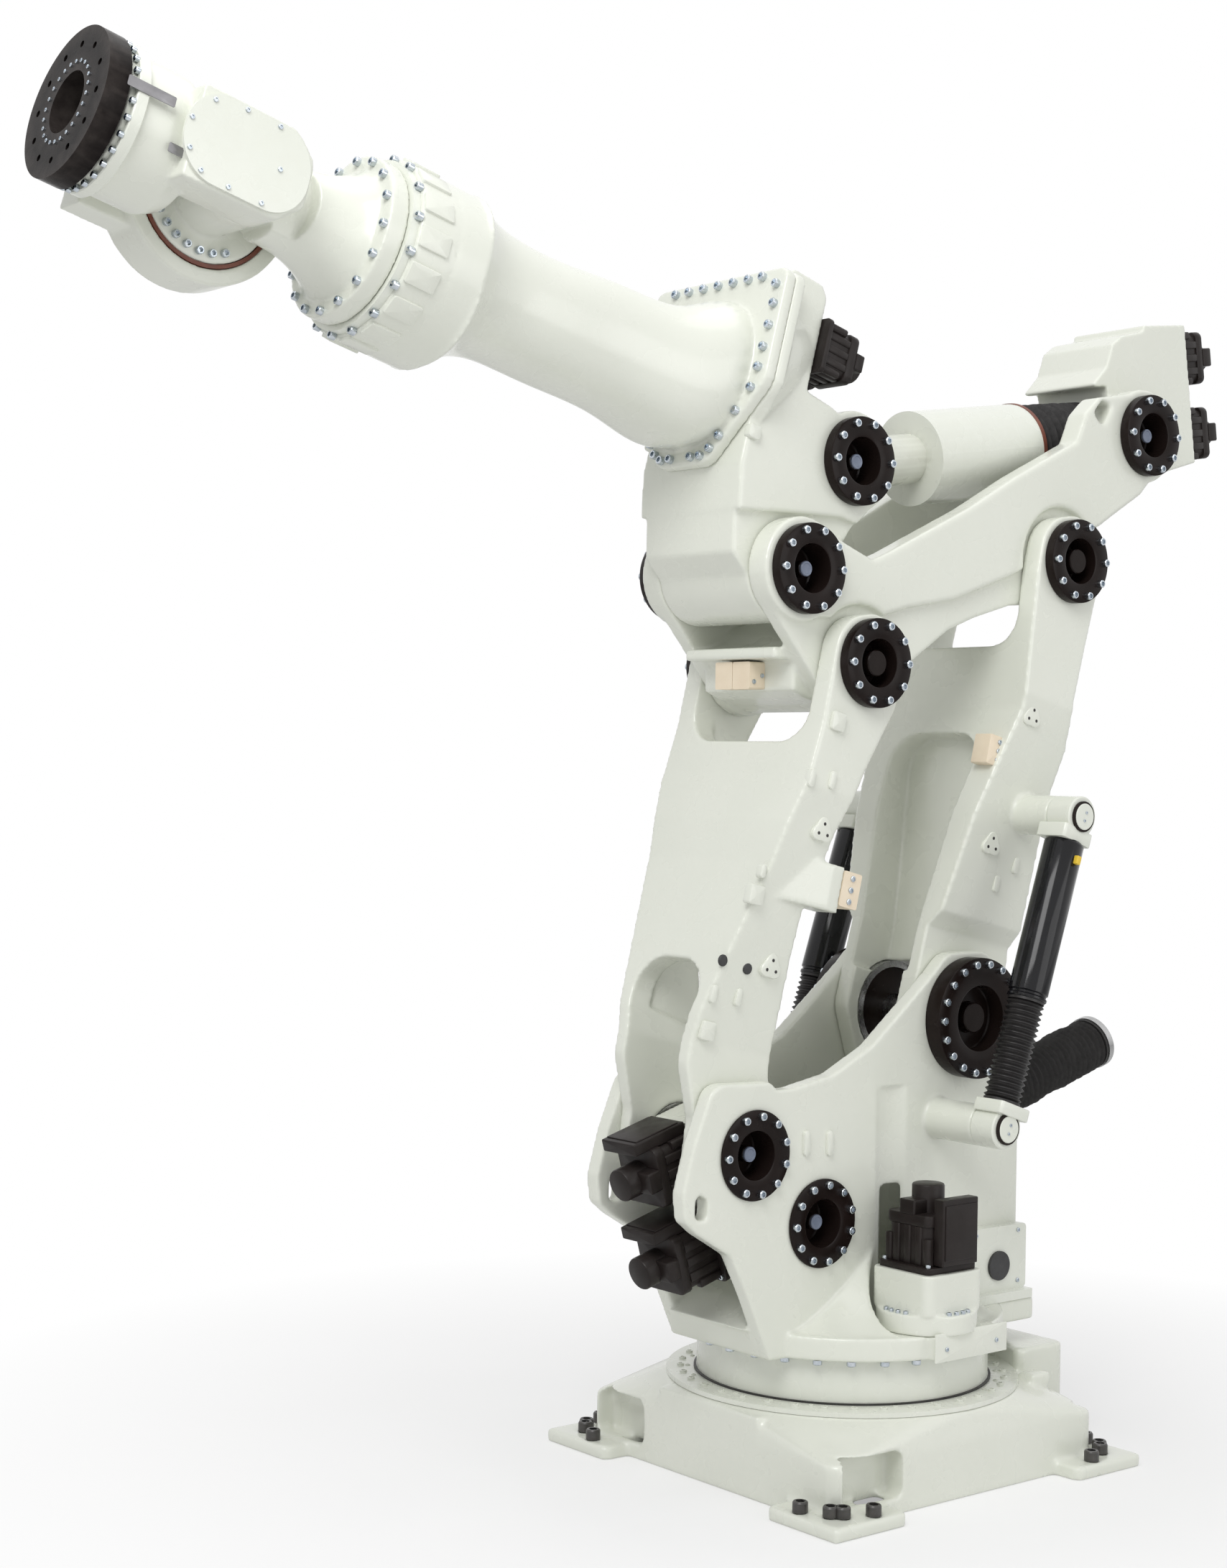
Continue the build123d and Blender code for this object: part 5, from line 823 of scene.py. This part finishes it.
for s in (1, -1):
    for where, body in ((BALANCER_LOW, "turret"), (BALANCER_HIGH, "rear_link")):
        at = place(where, 0, (0, s, 0), tilt(BALANCER))
        ends[body].append(put(end, at))
        darks[body].append(put(dark, at))
    along = place(BALANCER_LOW, s * BALANCER_Y, tilt(BALANCER))
    low_eyes += [put(low_eye, place(BALANCER_LOW, s * BALANCER_Y, (0, s, 0), tilt(BALANCER))),
                 put(low_neck, along)]
    rods.append(put(rod, along))
piece("balancer_low_ends", ends["turret"], "turret", ENAMEL, ["balancer_low_pins"])
piece("balancer_high_ends", ends["rear_link"], "rear_link", ENAMEL, ["balancer_high_pins"])
piece("balancer_low_rings", darks["turret"], "turret", CAP)
piece("balancer_high_rings", darks["rear_link"], "rear_link", CAP)
piece("balancer_low_eyes", low_eyes, "balancer_lower", ENAMEL)
piece("balancer_rod_bars", rods, "balancer_lower", STEEL, ["balancer_rods"])
for base, body in ((BALANCER_LOW, "turret"), (BALANCER_HIGH, "rear_link")):
    screws(body + "_balancer_screws", body,
           [(place(base, s * PIN_END_Y, (0, s, 0), tilt(BALANCER)), [(13, 0), (-13, 0)], 5, 3)
            for s in (1, -1)])
piece("balancer_tubes", tubes, "balancer_upper", GLOSS_TUBE, ["balancer_cylinders"])
piece("balancer_eyes", eyes, "balancer_upper", ENAMEL)
valve, valve_at = block(26, 18, 0, 16, 3, 2), moved(BALANCER_LOW, BALANCER, tube_end - 60)
piece("balancer_valves",
      [put(valve, place(valve_at, s * (BALANCER_Y + 58), (0, s, 0), tilt(BALANCER)))
       for s in (1, -1)], "balancer_upper", TAG)


# Small parts on the links, the turret and the wrist
stop_form = block(92, 84, 0, 66, 4, 2)
stop_seat = block(118, 12, -60, 74, 4, 2, (0, -48))
STOP_ALONG, STOP_AHEAD, STOP_Y, STOP_OUT = 808, 128, 204, 270
stop_at = link_side(REAR_LOW, STOP_ALONG, STOP_AHEAD, STOP_Y)
piece("rear_stop_block", [put(stop_form, stop_at)], "rear_link", URETHANE)
piece("rear_stop_seat", [put(stop_seat, stop_at)], "rear_link", ENAMEL)
screws("rear_stop_screws", "rear_link",
       [(link_side(REAR_LOW, STOP_ALONG, STOP_AHEAD, STOP_OUT), [(-28, 0), (0, 0), (28, 0)], 8, 4)])
BLOCK_ALONG, BLOCK_AHEAD, BLOCK_OUT = 798, -102, 300
screws("stop_block_screws", "front_link",
       [(link_side(FRONT_LOW, BLOCK_ALONG, BLOCK_AHEAD, s * BLOCK_OUT),
         [(-34, 0), (0, 0), (34, 0)], 9, 4) for s in (1, -1)])
screws("beam_block_screws", "beam",
       [(place((460, 2364), s * 75, (0, s, 0), (1, 0, 0)), [(-18, 0), (14, 18 * s)], 7, 4)
        for s in (1, -1)])
three, BOSS_TOP = ring(20, 3), 10.8
screws("front_boss_screws", "front_link",
       [(link_side(FRONT_LOW, a, t, leg_y(a, *FRONT_LEG) + BOSS_TOP), three, 5, 1)
        for a, t in ((939, 54), (531, 76))], OXIDE)
screws("rear_boss_screws", "rear_link",
       [(link_side(REAR_LOW, a, t, leg_y(a, *REAR_LEG) + BOSS_TOP), three, 5, 1)
        for a, t in ((939, 48), (529, 62))], OXIDE)
button = turned([(0, 0), (17, 0), (17, 3), (14, 6), (0, 7)], 32)
piece("front_boss_plugs", [put(button, link_side(FRONT_LOW, a, t, leg_y(a, *FRONT_LEG) - 2))
                           for a, t in ((515, 253), (511, 155))], "front_link", PLASTIC)
cover = block(302, 84, 0, 5, 3, 1.5)
cover_at = place((-30, 432), DECK_Y, NEAR, (1, 0, 0))
piece("deck_cover", [put(cover, cover_at)], "turret", ENAMEL)
screws("deck_cover_screws", "turret", [(raised(cover_at, 5), [(105, 6), (-105, 6)], 7, 4)])
box_corners = [(x, y) for x in (95, -95) for y in (78, -78)]
screws("box_screws", "turret", [(place((-412, 593), 255.2, NEAR, (1, 0, 0)), box_corners, 7, 4)])
seam = turned([(438, 0), (452, 0), (452, 5), (438, 5), (438, 0)], 128)
piece("drum_seal", [put(seam, upright(RING_Z))], "turret", RUBBER)
cover_rim = [(-65, 100), (30, 100), (110, 92), (152, 52), (165, -20), (118, -86), (30, -100),
             (-65, -100), (-92, 0)]
screws("bend_cover_screws", "wrist_bend", [(arm_side(82, 0, 214), cover_rim, 6.5, 4)])
screws("hand_screws", "wrist_bend", [(arm_at(HAND_FACE), ring(187, 28), 8.5, 12)])
hand_ring = turned([(176, 352), (191, 352), (194, 355), (194, 381), (191, 384), (176, 384),
                    (176, 352)], 96)
piece("hand_ring", [put(hand_ring, arm_at(0))], "wrist_bend", ENAMEL)
screws("bell_screws", "arm", [(arm_at(BELL_FACE), ring(241, 16, 11.25), 12, 17)])
lug, lug_at = block(58, 92, -14, 9, 6, 3), place((245, 0), 0, (1, 0, 0), NEAR)
piece("bell_lugs", [put(lug, arm_at(BELL_RIM) @ Matrix.Rotation(k * pi / 8, 4, "Z") @ lug_at)
                    for k in range(16)], "arm", ENAMEL)
strap = block(64, 24, 0, 3, 4, 0.8)
screws("flange_screws", "tool", [(arm_at(TOOL_FACE), ring(104, 24), 5.5, 4)])
piece("hand_straps",
      [put(block(130, 26, 0, 3, 4, 0.8), arm_side(352, 40, 193)),
       put(strap, arm_side(238, -60, 178.5))], "wrist_bend", SHEET)


# Floor, light and camera
floor_mesh = bpy.data.meshes.new("floor")
floor_mesh.from_pydata([(-30, -30, 0), (30, -30, 0), (30, 30, 0), (-30, 30, 0)], [], [(0, 1, 2, 3)])
floor = bpy.data.objects.new("floor", floor_mesh)
scene.collection.objects.link(floor)
FLOOR = finish("pale_floor", (0.88, 0.88, 0.88), (0.92, 0.92, 0.92), (0.7, 0.85), cloud=0.6)
t = FLOOR.node_tree
seen = wire(t, "LightPath").outputs
away = wire(t, "VectorMath", [(0, wire(t, "TexCoord").outputs["Object"])], operation="LENGTH")
fade = wire(t, "MapRange", [("Value", away.outputs["Value"])],
            [("From Min", 1.0), ("From Max", 3.2)])
white = wire(t, "Emission", (), [("Color", (1, 1, 1, 1)), ("Strength", 1.0)])
glow = wire(t, "Mix", [("Factor", fade.outputs["Result"])], [(2, 0.42), (3, 1.0)],
            data_type="FLOAT")
share = wire(t, "Math", [(0, glow.outputs[0]), (1, seen["Is Camera Ray"])], operation="MULTIPLY")
surface = wire(t, "MixShader",
               [(0, share.outputs["Value"]), (1, t.nodes["Principled BSDF"].outputs[0]),
                (2, white.outputs[0])])
t.links.new(surface.outputs[0], t.nodes["Material Output"].inputs["Surface"])
floor_mesh.materials.append(FLOOR)

scene.view_settings.view_transform = "Standard"
world = bpy.data.worlds.new("studio")
world.use_nodes = True
t = world.node_tree
seen = wire(t, "LightPath").outputs
white = wire(t, "Math", [(0, seen["Is Camera Ray"]), (1, seen["Is Glossy Ray"])],
             operation="MAXIMUM")
white = wire(t, "Math", [(0, white.outputs["Value"]), (1, seen["Is Transmission Ray"])],
             operation="MAXIMUM")
power = wire(t, "MapRange", [("Value", white.outputs["Value"])], [("To Min", 0.5), ("To Max", 1.0)])
t.nodes["Background"].inputs["Color"].default_value = (1, 1, 1, 1)
t.links.new(power.outputs["Result"], t.nodes["Background"].inputs["Strength"])
scene.world = world


def area(name, at, aim, size, watts):
    """Square soft lamp that looks from one point at another."""
    light = bpy.data.lights.new(name, "AREA")
    light.shape = "RECTANGLE"
    light.size, light.size_y = size
    light.energy = watts
    o = bpy.data.objects.new(name, light)
    o.location = at
    o.rotation_euler = (Vector(aim) - Vector(at)).to_track_quat("-Z", "Y").to_euler()
    scene.collection.objects.link(o)


area("key", (5.5, 3.5, 7.5), (0.2, 0, 1.8), (4, 4), 330)
area("fill", (-2.0, 7.5, 3.5), (0, 0, 2), (5, 4), 90)
area("overhead", (0, 0, 9), (0, 0, 2), (6, 6), 110)

# Camera as fitted to the photograph: turns in degrees, place in metres, focal length in pixels
TURNS, CAMERA_AT = (39.094, 0.447, -0.860), (5.345, 5.430, 2.098)
FOCAL, PHOTO_HEIGHT, SENSOR = 3453.6, 2182, 36
yaw, pitch, roll = (radians(a) for a in TURNS)
forward = Vector((-sin(yaw) * cos(pitch), -cos(yaw) * cos(pitch), -sin(pitch)))
right = Vector((-cos(yaw), sin(yaw), 0))
down = forward.cross(right)
across = cos(roll) * right + sin(roll) * down
below = -sin(roll) * right + cos(roll) * down
lens = bpy.data.cameras.new("camera")
lens.lens = FOCAL / PHOTO_HEIGHT * SENSOR
lens.sensor_width = SENSOR
lens.clip_end = 100
camera = bpy.data.objects.new("camera", lens)
pose = Matrix((across, -below, -forward)).transposed().to_4x4()
pose.translation = Vector(CAMERA_AT)
camera.matrix_world = pose
scene.collection.objects.link(camera)
scene.camera = camera
